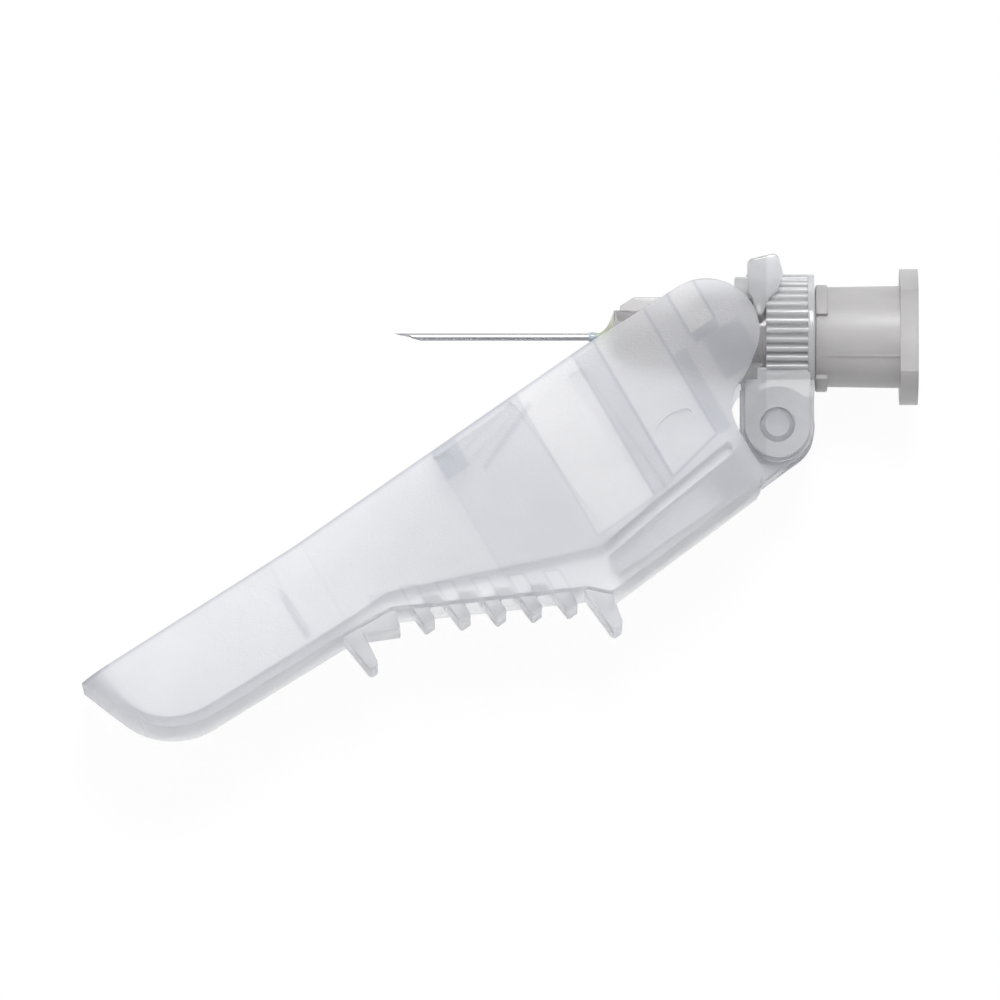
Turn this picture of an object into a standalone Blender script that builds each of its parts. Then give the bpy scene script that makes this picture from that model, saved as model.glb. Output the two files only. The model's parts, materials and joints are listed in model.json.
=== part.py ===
"""Safety hypodermic needle: a bonded cannula and hub, a swivelling collar and a hinged shield.

The model lies on the shield's flat side. +X runs along the cannula towards the Luer end, +Y is the
side that the shield closes from, and +Z is up. Sizes below are in millimetres.
"""

import math

import bmesh
import bpy
from mathutils import Matrix

MM = 0.001
MERGE = 1e-7
FLAT_ANGLE = math.radians(0.05)
SMOOTH_ANGLE = math.radians(30)
BORE_STEPS = 48

# Cannula: 27 gauge, half an inch exposed
CANNULA_R = 0.205
CANNULA_BORE_R = 0.105
CANNULA_EXPOSED = 12.7
CANNULA_SEATED = 5.4
CANNULA_STEPS = 24
BEVEL_ANGLE = 14.0
LANCET_TURN = 38.0
LANCET_SHARE = 0.45

# Bonded fit of the cannula and the adhesive
BOND_GAP = 0.03
BEAD_R = 0.36
BEAD_START = 1.45
BEAD_END = 0.92
CONE_R = 1.42
CONE_NECK_R = 0.27
RECESS_R = 0.62
RECESS_DEPTH = 0.5

# Hub, measured back from its nose face along +X
HUB_STEPS = 64
NOSE_R = 1.55
NOSE_EDGE = 0.12
HEAD_START = 4.4
HEAD_CHAMFER = 0.35
HEAD_R = 2.71
HEAD_END = 8.26
JOURNAL_R = 2.57
JOURNAL_END = 11.62
BARREL_R = 2.87
BARREL_END_R = 2.96
HUB_LENGTH = 17.53
FIN_COUNT = 4
FIN_THICKNESS = 0.8
FIN_START = 0.37
FIN_ROOT_R = 1.75
FIN_R = 2.27
FIN_CHAMFER = 0.8
FLANGE_R = 3.92
FLANGE_FLAT = 3.14
FLANGE_THICKNESS = 1.04
LUER_MOUTH_R = 2.15
LUER_TAPER = 0.03
LUER_DEPTH = 9.0
CHAMBER_R = 1.1
CHAMBER_END = 6.4
CHAMBER_CONE = 0.8
LUG_COUNT = 3
LUG_R = 3.17
LUG_WIDTH = 0.7
LUG_SPAN = 46.0
LUG_MIDDLE = 48.5

# Collar
COLLAR_GAP = 0.06
END_GAP = 0.06
RING_START = 8.77
RING_END = JOURNAL_END - END_GAP
RIM_WIDTH = 0.36
RING_R = 3.63
RIDGE_COUNT = 40
RIDGE_DEPTH = 0.14
RIDGE_POINTS = 6
EAR_IN = 1.95
EAR_STEP = 2.35
EAR_OUT = 2.75
EAR_R = 1.9
EAR_BACK_R = 2.11
EAR_TOP = 2.1
EAR_FRONT_TOP = 2.75
EAR_FRONT_STEP = 0.72
BLOCK_BOTTOM = 3.7
TONGUE_START = 6.97
TONGUE_R = 3.48
TONGUE_IN_R = 2.88
MOUTH_R = 2.84
TONGUE_HALF_ANGLE = 56.0
WING_IN = 2.9
WING_OUT = 3.4

# Hinge between the collar and the shield
PIVOT_X = 9.41
PIVOT_DROP = 5.375
HOLE_R = 1.0
PIN_GAP = 0.05
PIN_END_R = 0.68
PIN_CHAMFER = 0.3
PIN_RECESS = 0.05
ARM_GAP = 0.1
ARM_IN = 1.05
ARM_R = 2.15
REST_ANGLE = 34.85

# Shield, in its own frame: origin at the pivot, +X towards the hinge end, +Y towards the open side
WALL = 0.7
CHANNEL_HALF = 3.8
SHIELD_HALF = CHANNEL_HALF + WALL
CORNER_R = 0.6
SPINE = 0.65
OPEN_EDGE = 9.92
KNEE_X = -27.0
TIP_X = -41.35
TIP_Y = 10.5
NOSE_X = -36.0
NOSE_Y = 9.3
NOSE_ARC_R = 4.68
NOSE_ARC_END = 197.0
NOSE_PLAN_R = 2.2
DISTAL_X = -27.3
DISTAL_Y = 4.15
PAD_X = -24.4
PAD_Y = 3.86
HEEL_X = -14.4
HEEL_Y = -1.6
BACK_X = -13.4
BACK_Y = -2.65
BACK_END_X = -2.9
BACK_END_Y = -2.3
DOME_X = -0.4
DOME_Y = 6.6
DOME_R = 3.05
DOME_END = -52.0
THROAT = [(0.25, 3.42), (-0.94, 2.95), (-1.78, 2.08), (-2.14, 0.86), (-2.27, -0.67)]
WALL_CORNER_R = 0.6
FLOOR = [(-24.0, 4.75), (-12.4, -0.1), (-8.7, 0.3), (-3.0, 0.72)]
FLOOR_THICKNESS = 0.7
TUNNEL_X = -12.4
TOOTH_COUNT = 5
TOOTH_X = -22.9
TOOTH_PITCH = 1.81
TOOTH_ROOT = 0.84
TOOTH_TIP = 0.72
TOOTH_LENGTH = 1.05
TOOTH_HALF = 2.7
GROOVE_HALF = 2.2
GROOVE_DEPTH = 0.75
PANEL_DEPTH = 0.35
RIB_DEPTH = 0.5
CATCH_DEPTH = 0.3
POCKET_DEPTH = 0.3
LOCK_GAP = 0.6


def point_on(cx, cy, radius, degrees):
    """A point on a circle."""
    angle = math.radians(degrees)
    return cx + radius * math.cos(angle), cy + radius * math.sin(angle)


def arc(cx, cy, radius, start, end, steps):
    """Points along an arc, ends included."""
    return [point_on(cx, cy, radius, start + (end - start) * i / steps) for i in range(steps + 1)]


def circle(cx, cy, radius, steps=BORE_STEPS):
    """A closed circle's points, with its first point not repeated."""
    return arc(cx, cy, radius, 0.0, 360.0, steps)[:-1]


def spline(points, steps):
    """A smooth curve through the points (Catmull-Rom), ends included."""
    padded = [points[0]] + list(points) + [points[-1]]
    out = []
    for a, b, c, d in zip(padded, padded[1:], padded[2:], padded[3:]):
        for i in range(steps):
            t = i / steps
            out.append(tuple(
                0.5 * (2 * q + (r - p) * t + (2 * p - 5 * q + 4 * r - s) * t**2
                       + (3 * q - p - 3 * r + s) * t**3)
                for p, q, r, s in zip(a, b, c, d)
            ))
    return out + [points[-1]]


def rounded(corners, steps=4):
    """An outline whose corners, given as (x, y, radius), are cut by arcs that touch both sides."""
    out = []
    for i, (x, y, radius) in enumerate(corners):
        if not radius:
            out.append((x, y))
            continue
        before, after = corners[i - 1], corners[(i + 1) % len(corners)]
        a = math.atan2(before[1] - y, before[0] - x)
        b = math.atan2(after[1] - y, after[0] - x)
        turn = (b - a + math.pi) % (2 * math.pi) - math.pi
        half = abs(turn) / 2
        middle = a + turn / 2
        cx = x + radius / math.sin(half) * math.cos(middle)
        cy = y + radius / math.sin(half) * math.sin(middle)
        start = a - math.copysign(math.pi / 2, turn)
        sweep = -math.copysign(math.pi - 2 * half, turn)
        for k in range(steps + 1):
            angle = start + sweep * k / steps
            out.append((cx + radius * math.cos(angle), cy + radius * math.sin(angle)))
    return out


def box_outline(x0, x1, y0, y1):
    """A rectangle's four corners."""
    return [(x0, y0), (x1, y0), (x1, y1), (x0, y1)]


def add_object(name, mesh):
    """A new object in the scene's working collection."""
    obj = bpy.data.objects.new(name, mesh)
    bpy.context.scene.collection.objects.link(obj)
    return obj


def tidy(obj):
    """Weld an object's mesh, join its flat facets and face them outwards."""
    bm = bmesh.new()
    bm.from_mesh(obj.data)
    bmesh.ops.remove_doubles(bm, verts=bm.verts, dist=MERGE)
    bmesh.ops.dissolve_limit(bm, angle_limit=FLAT_ANGLE, verts=bm.verts, edges=bm.edges)
    bmesh.ops.recalc_face_normals(bm, faces=bm.faces)
    bm.to_mesh(obj.data)
    bm.free()
    return obj


def bake(obj):
    """Replace an object's data by its evaluated mesh, in the object's own frame."""
    bpy.context.view_layer.update()
    evaluated = obj.evaluated_get(bpy.context.evaluated_depsgraph_get())
    mesh = bpy.data.meshes.new_from_object(evaluated)
    if obj.type == "CURVE":
        baked = add_object(obj.name + "_mesh", mesh)
        baked.matrix_world = obj.matrix_world
        bpy.data.objects.remove(obj)
        return baked
    obj.modifiers.clear()
    obj.data = mesh
    return obj


def plate(name, outlines, z0, z1):
    """A flat plate between two heights: the first outline is its edge, any others are holes."""
    curve = bpy.data.curves.new(name, "CURVE")
    curve.dimensions = "2D"
    curve.fill_mode = "BOTH"
    curve.extrude = (z1 - z0) / 2 * MM
    for outline in outlines:
        run = curve.splines.new("POLY")
        run.points.add(len(outline) - 1)
        for point, (x, y) in zip(run.points, outline):
            point.co = (x * MM, y * MM, 0.0, 1.0)
        run.use_cyclic_u = True
    obj = bake(add_object(name, curve))
    for vertex in obj.data.vertices:
        vertex.co.z = (z1 if vertex.co.z > 0.0 else z0) * MM
    return tidy(obj)


def across(obj):
    """Stand a plate drawn in the Y-Z plane upright, so that its thickness runs along X."""
    obj.data.transform(Matrix(((0, 0, 1, 0), (1, 0, 0, 0), (0, 1, 0, 0), (0, 0, 0, 1))))
    return obj


def laid(obj):
    """Turn a plate drawn in the X-Z plane, so that its thickness runs along Y."""
    obj.data.transform(Matrix(((1, 0, 0, 0), (0, 0, 1, 0), (0, -1, 0, 0), (0, 0, 0, 1))))
    return obj


def turned(name, profile, steps):
    """A solid turned about the X axis from a closed profile of (x, radius) points."""
    mesh = bpy.data.meshes.new(name)
    count = len(profile)
    edges = [(i, (i + 1) % count) for i in range(count)]
    mesh.from_pydata([(x * MM, 0.0, r * MM) for x, r in profile], edges, [])
    obj = add_object(name, mesh)
    screw = obj.modifiers.new("turn", "SCREW")
    screw.axis = "X"
    screw.steps = steps
    screw.render_steps = steps
    screw.use_merge_vertices = True
    screw.merge_threshold = MERGE
    return tidy(bake(obj))


def combine(obj, other, operation):
    """Join, cut or intersect two solids, and remove the second."""
    modifier = obj.modifiers.new(operation, "BOOLEAN")
    modifier.operation = operation
    modifier.object = other
    bake(obj)
    bpy.data.objects.remove(other)
    return obj


def join(obj, *others):
    """Union of several solids."""
    for other in others:
        combine(obj, other, "UNION")
    return obj


def cut(obj, *others):
    """An object with several solids taken out of it."""
    for other in others:
        combine(obj, other, "DIFFERENCE")
    return obj


def both_sides(make, z0, z1):
    """The same plate at +Z and at -Z."""
    return [make(z0, z1), make(-z1, -z0)]


def material(name, colour, roughness, metallic=0.0, alpha=1.0, transmission=0.0):
    """A Principled material."""
    mat = bpy.data.materials.new(name)
    mat.use_nodes = True
    shader = mat.node_tree.nodes["Principled BSDF"]
    shader.inputs["Base Color"].default_value = (*colour, 1.0)
    shader.inputs["Roughness"].default_value = roughness
    shader.inputs["Metallic"].default_value = metallic
    shader.inputs["Alpha"].default_value = alpha
    shader.inputs["Transmission Weight"].default_value = transmission
    mat.diffuse_color = (*colour, alpha)
    return mat


def finish(obj, name, mat):
    """Name a finished piece, weld it, give it its material and shade its round faces smooth."""
    obj.name = name
    obj.data.name = name
    tidy(obj)
    obj.data.materials.clear()
    obj.data.materials.append(mat)
    obj.data.shade_smooth()
    obj.data.set_sharp_from_angle(angle=SMOOTH_ANGLE)
    return obj


def tip_cutter(name, turn, back):
    """A block whose face cuts the cannula's point at the bevel angle, turned about its axis."""
    size = 10.0
    obj = plate(name, [box_outline(-size, size, -size, 0.0)], -size, size)
    tilt = Matrix.Rotation(math.radians(-BEVEL_ANGLE), 4, "Z")
    place = Matrix.Translation(((back - CANNULA_EXPOSED) * MM, 0.0, 0.0))
    lift = Matrix.Translation((0.0, CANNULA_R * MM, 0.0))
    obj.data.transform(Matrix.Rotation(math.radians(turn), 4, "X") @ place @ lift @ tilt)
    return obj


def build_cannula():
    """Steel tube with a lancet point: one long bevel and two short side facets."""
    tube = turned("cannula", [
        (-CANNULA_EXPOSED, CANNULA_BORE_R), (-CANNULA_EXPOSED, CANNULA_R),
        (CANNULA_SEATED, CANNULA_R), (CANNULA_SEATED, CANNULA_BORE_R),
    ], CANNULA_STEPS)
    bevel_length = 2 * CANNULA_R / math.tan(math.radians(BEVEL_ANGLE))
    facet_back = -bevel_length * LANCET_SHARE * 0.16
    cut(tube, tip_cutter("bevel", 0.0, 0.0))
    for side in (-1, 1):
        cut(tube, tip_cutter("facet", side * LANCET_TURN, facet_back))
    return finish(tube, "cannula", material("cannula_steel", (0.62, 0.63, 0.65), 0.22, 1.0))


def build_adhesive():
    """Cured adhesive: a plug in the hub's recess, a hollow cone on its face and a bead."""
    inner = CANNULA_R + BOND_GAP
    cone = []
    for i in range(9):
        t = i / 8
        x = -BEAD_END + (BEAD_END - BOND_GAP) * t
        cone.append((x, CONE_NECK_R + (CONE_R - CONE_NECK_R) * t**2.2))
    bead = []
    for i in range(1, 8):
        t = i / 8
        x = -BEAD_START + (BEAD_START - BEAD_END) * t
        bead.append((x, CONE_NECK_R + (BEAD_R - CONE_NECK_R) * math.sin(math.pi * t)))
    plug_r = RECESS_R - BOND_GAP
    profile = [(-BEAD_START, inner), (-BEAD_START, CONE_NECK_R), *bead, *cone,
               (-BOND_GAP, plug_r), (RECESS_DEPTH - BOND_GAP, plug_r), (RECESS_DEPTH - BOND_GAP, inner)]
    return finish(turned("adhesive", profile, 32), "adhesive",
                  material("cured_adhesive", (0.72, 0.78, 0.52), 0.25, alpha=0.85))


def hub_lug(middle):
    """One of the short lugs behind the collar that keep it on its journal."""
    inner, half = BARREL_R - 0.3, LUG_SPAN / 2
    outline = (arc(0, 0, LUG_R, 90 - middle - half, 90 - middle + half, 10)
               + arc(0, 0, inner, 90 - middle + half, 90 - middle - half, 6))
    return across(plate("lug", [[(y, x) for x, y in outline]], JOURNAL_END, JOURNAL_END + LUG_WIDTH))


def build_hub():
    """Hub: finned nose, head, journal for the collar, barrel with Luer socket and lugged flange."""
    bore_r = CANNULA_R + BOND_GAP
    socket_end = HUB_LENGTH - LUER_DEPTH
    socket_end_r = LUER_MOUTH_R - LUER_TAPER * LUER_DEPTH
    hub = turned("hub", [
        (0.0, RECESS_R), (0.0, NOSE_R - NOSE_EDGE), (NOSE_EDGE, NOSE_R), (HEAD_START, NOSE_R),
        (HEAD_START, HEAD_R - HEAD_CHAMFER), (HEAD_START + HEAD_CHAMFER, HEAD_R), (HEAD_END, HEAD_R),
        (HEAD_END, JOURNAL_R), (JOURNAL_END, JOURNAL_R), (JOURNAL_END, BARREL_R),
        (HUB_LENGTH, BARREL_END_R), (HUB_LENGTH, LUER_MOUTH_R), (socket_end, socket_end_r),
        (socket_end, CHAMBER_R), (CHAMBER_END, CHAMBER_R), (CHAMBER_END - CHAMBER_CONE, bore_r),
        (RECESS_DEPTH, bore_r), (RECESS_DEPTH, RECESS_R),
    ], HUB_STEPS)
    fin = rounded([
        (FIN_START, 0.8, 0), (FIN_START, FIN_ROOT_R, 0.08), (FIN_START + FIN_CHAMFER, FIN_R, 0.15),
        (HEAD_START + 0.2, FIN_R, 0), (HEAD_START + 0.2, 0.8, 0),
    ])
    for i in range(FIN_COUNT):
        blade = plate("fin", [fin], -FIN_THICKNESS / 2, FIN_THICKNESS / 2)
        blade.data.transform(Matrix.Rotation(math.tau * i / FIN_COUNT, 4, "X"))
        join(hub, blade)
    flats = math.degrees(math.asin(FLANGE_FLAT / FLANGE_R))
    rim = arc(0, 0, FLANGE_R, -flats, flats, 24) + arc(0, 0, FLANGE_R, 180 - flats, 180 + flats, 24)
    start, mouth = HUB_LENGTH - FLANGE_THICKNESS, circle(0, 0, LUER_MOUTH_R + 0.4)
    join(hub, across(plate("flange", [rim, mouth], start, HUB_LENGTH)))
    for i in range(LUG_COUNT):
        join(hub, hub_lug(LUG_MIDDLE + 360.0 * i / LUG_COUNT))
    return finish(hub, "hub", material("hub_plastic", (0.50, 0.49, 0.48), 0.35, alpha=0.9))


def knurled_outline():
    """The collar ring's ridged outline."""
    count = RIDGE_COUNT * RIDGE_POINTS
    out = []
    for i in range(count):
        wave = 0.5 + 0.5 * math.cos(math.tau * i / RIDGE_POINTS)
        out.append(point_on(0, 0, RING_R - RIDGE_DEPTH * (1 - wave), 360.0 * i / count))
    return out


def ear_outline(radius, rise):
    """One layer of a collar ear: round about the pivot, stepped where it meets the ring."""
    x, y = PIVOT_X, -PIVOT_DROP
    step = x - EAR_R + EAR_FRONT_STEP
    return arc(x, y, radius, -180.0, 0.0, 18) + [
        (x + radius, rise - EAR_TOP), (step + rise, rise - EAR_TOP),
        (step + rise, -EAR_FRONT_TOP - rise), (x - radius, -EAR_FRONT_TOP - rise),
    ]


def wing_outline():
    """A latch wing of the collar, which stands up beside the hub."""
    front = TONGUE_START + 0.7
    return rounded([
        (front, 2.3, 0.3), (front, 4.1, 0.35), (front + 1.75, 4.52, 0.35), (front + 2.08, 3.3, 0.3),
        (front + 1.75, 2.35, 0.4), (front + 1.2, 1.75, 0.4), (front + 0.85, 0.8, 0.18),
        (front + 0.5, 0.95, 0.18), (front + 0.3, 1.8, 0.3),
    ])


def build_collar():
    """Collar: knurled ring on the hub's journal, two hinge ears below, a tongue and latch wings above."""
    ring = across(plate("collar", [knurled_outline()], RING_START, RING_END - RIM_WIDTH))
    rim = across(plate("rim", [circle(0, 0, RING_R, RIDGE_COUNT * 2)], RING_END - RIM_WIDTH - 0.05, RING_END))
    join(ring, rim)
    join(ring, *both_sides(lambda a, b: plate("ear", [ear_outline(EAR_BACK_R, 0.1)], a, b), EAR_IN, EAR_STEP))
    join(ring, *both_sides(lambda a, b: plate("ear", [ear_outline(EAR_R, 0.0)], a, b), EAR_STEP - 0.2, EAR_OUT))
    block = box_outline(PIVOT_X - EAR_R + EAR_FRONT_STEP + 0.2, PIVOT_X + EAR_BACK_R - 0.02,
                        -BLOCK_BOTTOM, -EAR_FRONT_TOP + 0.3)
    join(ring, plate("block", [block], -EAR_IN - 0.1, EAR_IN + 0.1))
    half = TONGUE_HALF_ANGLE
    tongue = arc(0, 0, TONGUE_R, 90 - half, 90 + half, 16) + arc(0, 0, TONGUE_IN_R, 90 + half, 90 - half, 16)
    join(ring, across(plate("tongue", [[(x, y) for y, x in tongue]], TONGUE_START, RING_START + 0.3)))
    for wing in both_sides(lambda a, b: plate("wing", [wing_outline()], a, b), WING_IN, WING_OUT):
        join(ring, wing)
    bore_r = JOURNAL_R + COLLAR_GAP
    bore = across(plate("bore", [circle(0, 0, bore_r, HUB_STEPS)], 0.0, JOURNAL_END + 1.0))
    mouth = across(plate("mouth", [circle(0, 0, MOUTH_R, HUB_STEPS)], 0.0, RING_START))
    cut(ring, bore, mouth)
    slot = circle(PIVOT_X, -PIVOT_DROP, ARM_R + ARM_GAP)
    cut(ring, *both_sides(lambda a, b: plate("slot", [slot], a, b), ARM_IN - ARM_GAP, EAR_IN))
    hole = circle(PIVOT_X, -PIVOT_DROP, HOLE_R)
    cut(ring, plate("hole", [hole], -EAR_OUT - 0.5, EAR_OUT + 0.5))
    return finish(ring, "collar", material("clear_plastic", (0.82, 0.84, 0.86), 0.12, alpha=0.6))


def shield_side():
    """The shield's side outline, from the tip along its underside and back along the open edge."""
    nose = arc(NOSE_X, NOSE_Y, NOSE_ARC_R, NOSE_ARC_END, 266.0, 14)
    under = rounded([
        (DISTAL_X, DISTAL_Y, 0), (PAD_X, PAD_Y, 0.6), (HEEL_X, HEEL_Y, 0.5), (BACK_X, BACK_Y, 0.5),
        (BACK_END_X, BACK_END_Y, 0),
    ])
    corner = rounded([(BACK_END_X - 3.0, BACK_END_Y, 0), (-2.3, BACK_END_Y + 0.1, WALL_CORNER_R), (-2.27, 3.0, 0)])
    dome = arc(DOME_X, DOME_Y, DOME_R, DOME_END, 90.0, 24)
    throat = spline([dome[0], *THROAT], 4)
    return ([(TIP_X, TIP_Y), *nose] + under + corner[1:-1] + throat[:0:-1]
            + dome + [(-6.5, OPEN_EDGE), (KNEE_X, OPEN_EDGE)])


def shield_plan(inset, back):
    """The shield's outline from above, with the round corners of its closed tip."""
    half = SHIELD_HALF - inset
    radius = NOSE_PLAN_R - inset
    x = TIP_X - 0.2 + inset
    return rounded([(x, -half, radius), (back, -half, 0), (back, half, 0), (x, half, radius)], 6)


def flat_plan(name, inset, y0, y1):
    """The plan outline as a solid that runs through the whole depth of the shield."""
    return laid(plate(name, [shield_plan(inset, 12.0)], y0, y1))


def soften_underside(obj):
    """Round the long edges where the shield's side walls turn into its underside."""
    bm = bmesh.new()
    bm.from_mesh(obj.data)
    half = SHIELD_HALF * MM
    edges = []
    for edge in bm.edges:
        a, b = (v.co for v in edge.verts)
        on_side = abs(abs(a.z) - half) < MERGE and abs(a.z - b.z) < MERGE
        middle = (a + b) / 2 / MM
        below = middle.y < DISTAL_Y + 0.6 and middle.x < BACK_END_X + 0.3
        nose = middle.x < NOSE_X and middle.y < TIP_Y - 0.4
        if on_side and (below or nose):
            edges.append(edge)
    bmesh.ops.bevel(bm, geom=edges, offset=CORNER_R * MM, segments=4, profile=0.5,
                    affect="EDGES", clamp_overlap=True)
    bm.to_mesh(obj.data)
    bm.free()
    return obj


def channel_outline():
    """The cut that leaves the shield's walls and floor."""
    inner_r = NOSE_ARC_R - SPINE
    nose = arc(NOSE_X, NOSE_Y, inner_r, NOSE_ARC_END, 266.0, 14)
    return [(TIP_X + SPINE - 0.25, 12.5), *nose, (DISTAL_X + 0.4, DISTAL_Y + SPINE), *FLOOR,
            (6.0, FLOOR[-1][1]), (6.0, 12.5)]


def tunnel_outline():
    """The hollow between the floor and the back plate, open at the hinge end."""
    below = [(x, y - FLOOR_THICKNESS) for x, y in FLOOR[1:]]
    back = BACK_Y + SPINE + 0.05
    return [*below, (FLOOR[-1][0], 1.5), (6.0, 1.5), (6.0, back), (TUNNEL_X, back)]


def arm_outline():
    """A hinge arm: round about the pivot, and let into the back plate and the floor."""
    knuckle = arc(0, 0, ARM_R, -90.0, 118.0, 26)
    return knuckle + [(-2.75, 0.3), (-5.2, -0.1), (-5.2, BACK_END_Y), (-0.6, -ARM_R)]


def build_pins():
    """The two trunnions on the hinge arms, with a bevelled end."""
    radius = HOLE_R - PIN_GAP
    start, end = EAR_IN - ARM_GAP - 0.2, EAR_OUT - PIN_RECESS
    pins = []
    for side in (-1, 1):
        profile = [(start, 0.0), (start, radius), (end - PIN_CHAMFER, radius), (end, PIN_END_R), (end, 0.0)]
        mesh = bpy.data.meshes.new("pin")
        mesh.from_pydata([(r * MM, 0.0, z * MM) for z, r in profile], [(i, i + 1) for i in range(4)], [])
        pin = add_object("pin", mesh)
        screw = pin.modifiers.new("turn", "SCREW")
        screw.steps = BORE_STEPS
        screw.render_steps = BORE_STEPS
        screw.use_merge_vertices = True
        screw.merge_threshold = MERGE
        tidy(bake(pin))
        if side < 0:
            pin.data.transform(Matrix.Rotation(math.pi, 4, "X"))
        pins.append(pin)
    return pins


def under_y(x):
    """Height of the pad's underside at x."""
    share = (x - PAD_X) / (HEEL_X - PAD_X)
    return PAD_Y + share * (HEEL_Y - PAD_Y)


def tooth_outline(x):
    """One grip tooth, square to the open edge."""
    top, tip = under_y(x) + 0.6, under_y(x) - TOOTH_LENGTH
    root, end = TOOTH_ROOT / 2, TOOTH_TIP / 2
    return rounded([(x - root, top, 0), (x - end, tip, 0.15), (x + end, tip, 0.15), (x + root, top, 0)])


def grip():
    """The grip under the pad: a wedge, a row of teeth and a taller fin at each end."""
    outlines = [
        rounded([(-26.9, 4.8, 0), (-26.6, 3.75, 0.2), (-24.5, 2.68, 0.12), (-24.2, 3.7, 0), (-24.0, 4.4, 0)]),
        rounded([(-27.55, 4.9, 0), (-27.3, 1.75, 0.25), (-26.7, 1.75, 0.25), (-26.3, 4.6, 0)]),
        rounded([(-14.6, -1.2, 0), (-14.55, -4.4, 0.3), (-13.85, -4.4, 0.3), (-13.2, -2.0, 0)]),
    ]
    outlines += [tooth_outline(TOOTH_X + i * TOOTH_PITCH) for i in range(TOOTH_COUNT)]
    return [plate("tooth", [outline], -TOOTH_HALF, TOOTH_HALF) for outline in outlines]


def grip_grooves():
    """Grooves between the teeth, closed at the sides by the pad's rails."""
    grooves = []
    for i in range(TOOTH_COUNT - 1):
        left = TOOTH_X + i * TOOTH_PITCH + TOOTH_ROOT / 2 + 0.08
        right = TOOTH_X + (i + 1) * TOOTH_PITCH - TOOTH_ROOT / 2 - 0.08
        outline = [(left, under_y(left) - 0.4), (right, under_y(right) - 0.4),
                   (right, under_y(right) + GROOVE_DEPTH), (left, under_y(left) + GROOVE_DEPTH)]
        grooves.append(plate("groove", [outline], -GROOVE_HALF, GROOVE_HALF))
    return grooves


def inner_walls():
    """Raised panels, ribs and catches on the inner faces of the side walls."""
    root = CHANNEL_HALF + 0.1
    pieces = []
    for outline, depth in (
        ([(-17.9, 2.0), (-11.8, -0.3), (-11.8, 9.5), (-17.5, 9.5)], PANEL_DEPTH),
        (box_outline(-8.3, -7.4, 0.1, 9.0), RIB_DEPTH),
        (box_outline(-1.5, 0.25, 6.1, 6.5), CATCH_DEPTH),
        (box_outline(-29.2, -28.85, 4.6, 8.2), RIB_DEPTH),
    ):
        pieces += both_sides(lambda a, b, o=outline: plate("panel", [o], a, b), CHANNEL_HALF - depth, root)
    return pieces


def needle_lock():
    """The slanted hook that the cannula snaps past, moulded on one side wall."""
    hook = rounded([
        (-11.85, 9.7, 0), (-15.9, 8.95, 0.3), (-17.5, 9.7, 0.15), (-17.5, 7.65, 0.15),
        (-16.5, 7.65, 0.2), (-15.9, 8.35, 0.3), (-11.85, 9.15, 0),
    ])
    return plate("hook", [hook], LOCK_GAP, CHANNEL_HALF + 0.1)


def build_shield(root):
    """Shield: a U channel with a closed tip, grip, hinge arms with trunnions, and a needle lock."""
    shell = plate("shield", [shield_side()], -SHIELD_HALF, SHIELD_HALF)
    soften_underside(shell)
    combine(shell, flat_plan("plan", 0.0, -20.0, 20.0), "INTERSECT")
    channel = plate("channel", [channel_outline()], -CHANNEL_HALF, CHANNEL_HALF)
    combine(channel, flat_plan("plan_inner", WALL, -20.0, 20.0), "INTERSECT")
    tunnel = plate("tunnel", [tunnel_outline()], -CHANNEL_HALF, CHANNEL_HALF)
    cut(shell, channel, tunnel)
    arm_out = EAR_IN - ARM_GAP
    join(shell, *both_sides(lambda a, b: plate("arm", [arm_outline()], a, b), ARM_IN, arm_out))
    join(shell, *build_pins())
    join(shell, *grip())
    cut(shell, *grip_grooves())
    join(shell, *inner_walls())
    join(shell, needle_lock())
    pocket = box_outline(-1.45, 0.28, 6.54, 9.3)
    cut(shell, *both_sides(lambda a, b: plate("pocket", [pocket], a, b),
                           CHANNEL_HALF - 0.1, CHANNEL_HALF + POCKET_DEPTH))
    mark = [(x * 1.2 - 4.97, y * 0.5 + 3.35) for x, y in circle(0, 0, 1.0, 28)]
    cut(shell, plate("mark", [mark], SHIELD_HALF - 0.15, SHIELD_HALF + 0.3))
    finish(shell, "shield", material("frosted_plastic", (0.86, 0.88, 0.92), 0.45, alpha=0.75))
    shell.location = (PIVOT_X * MM, -PIVOT_DROP * MM, 0.0)
    shell.rotation_euler = (0.0, 0.0, math.radians(REST_ANGLE))
    shell.parent = root
    return shell


def seat(root, pieces):
    """Move the whole part so that its origin is the middle of its footprint, on the resting plane."""
    bpy.context.view_layer.update()
    corners = [piece.matrix_world @ v.co for piece in pieces for v in piece.data.vertices]
    low = [min(c[i] for c in corners) for i in range(3)]
    high = [max(c[i] for c in corners) for i in range(3)]
    root.location = (-(low[0] + high[0]) / 2, -(low[1] + high[1]) / 2, -low[2])


def main():
    for obj in list(bpy.data.objects):
        bpy.data.objects.remove(obj)
    collection = bpy.data.collections.new("safety_needle")
    bpy.context.scene.collection.children.link(collection)
    root = bpy.data.objects.new("safety_needle_root", None)
    pieces = [build_cannula(), build_adhesive(), build_hub(), build_collar()]
    for piece in pieces:
        piece.parent = root
    pieces.append(build_shield(root))
    for obj in [root, *pieces]:
        collection.objects.link(obj)
        if obj.name in bpy.context.scene.collection.objects:
            bpy.context.scene.collection.objects.unlink(obj)
    seat(root, pieces)


main()
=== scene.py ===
"""Safety hypodermic needle, finished for a studio picture.

The pieces are drawn at their real size around the fixed frame. Outlines are in millimetres: those of
the cannula, adhesive, hub and collar run from the middle of the hub's nose face, and those of the
shield from its hinge pin. MM turns them into metres.
"""

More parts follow.
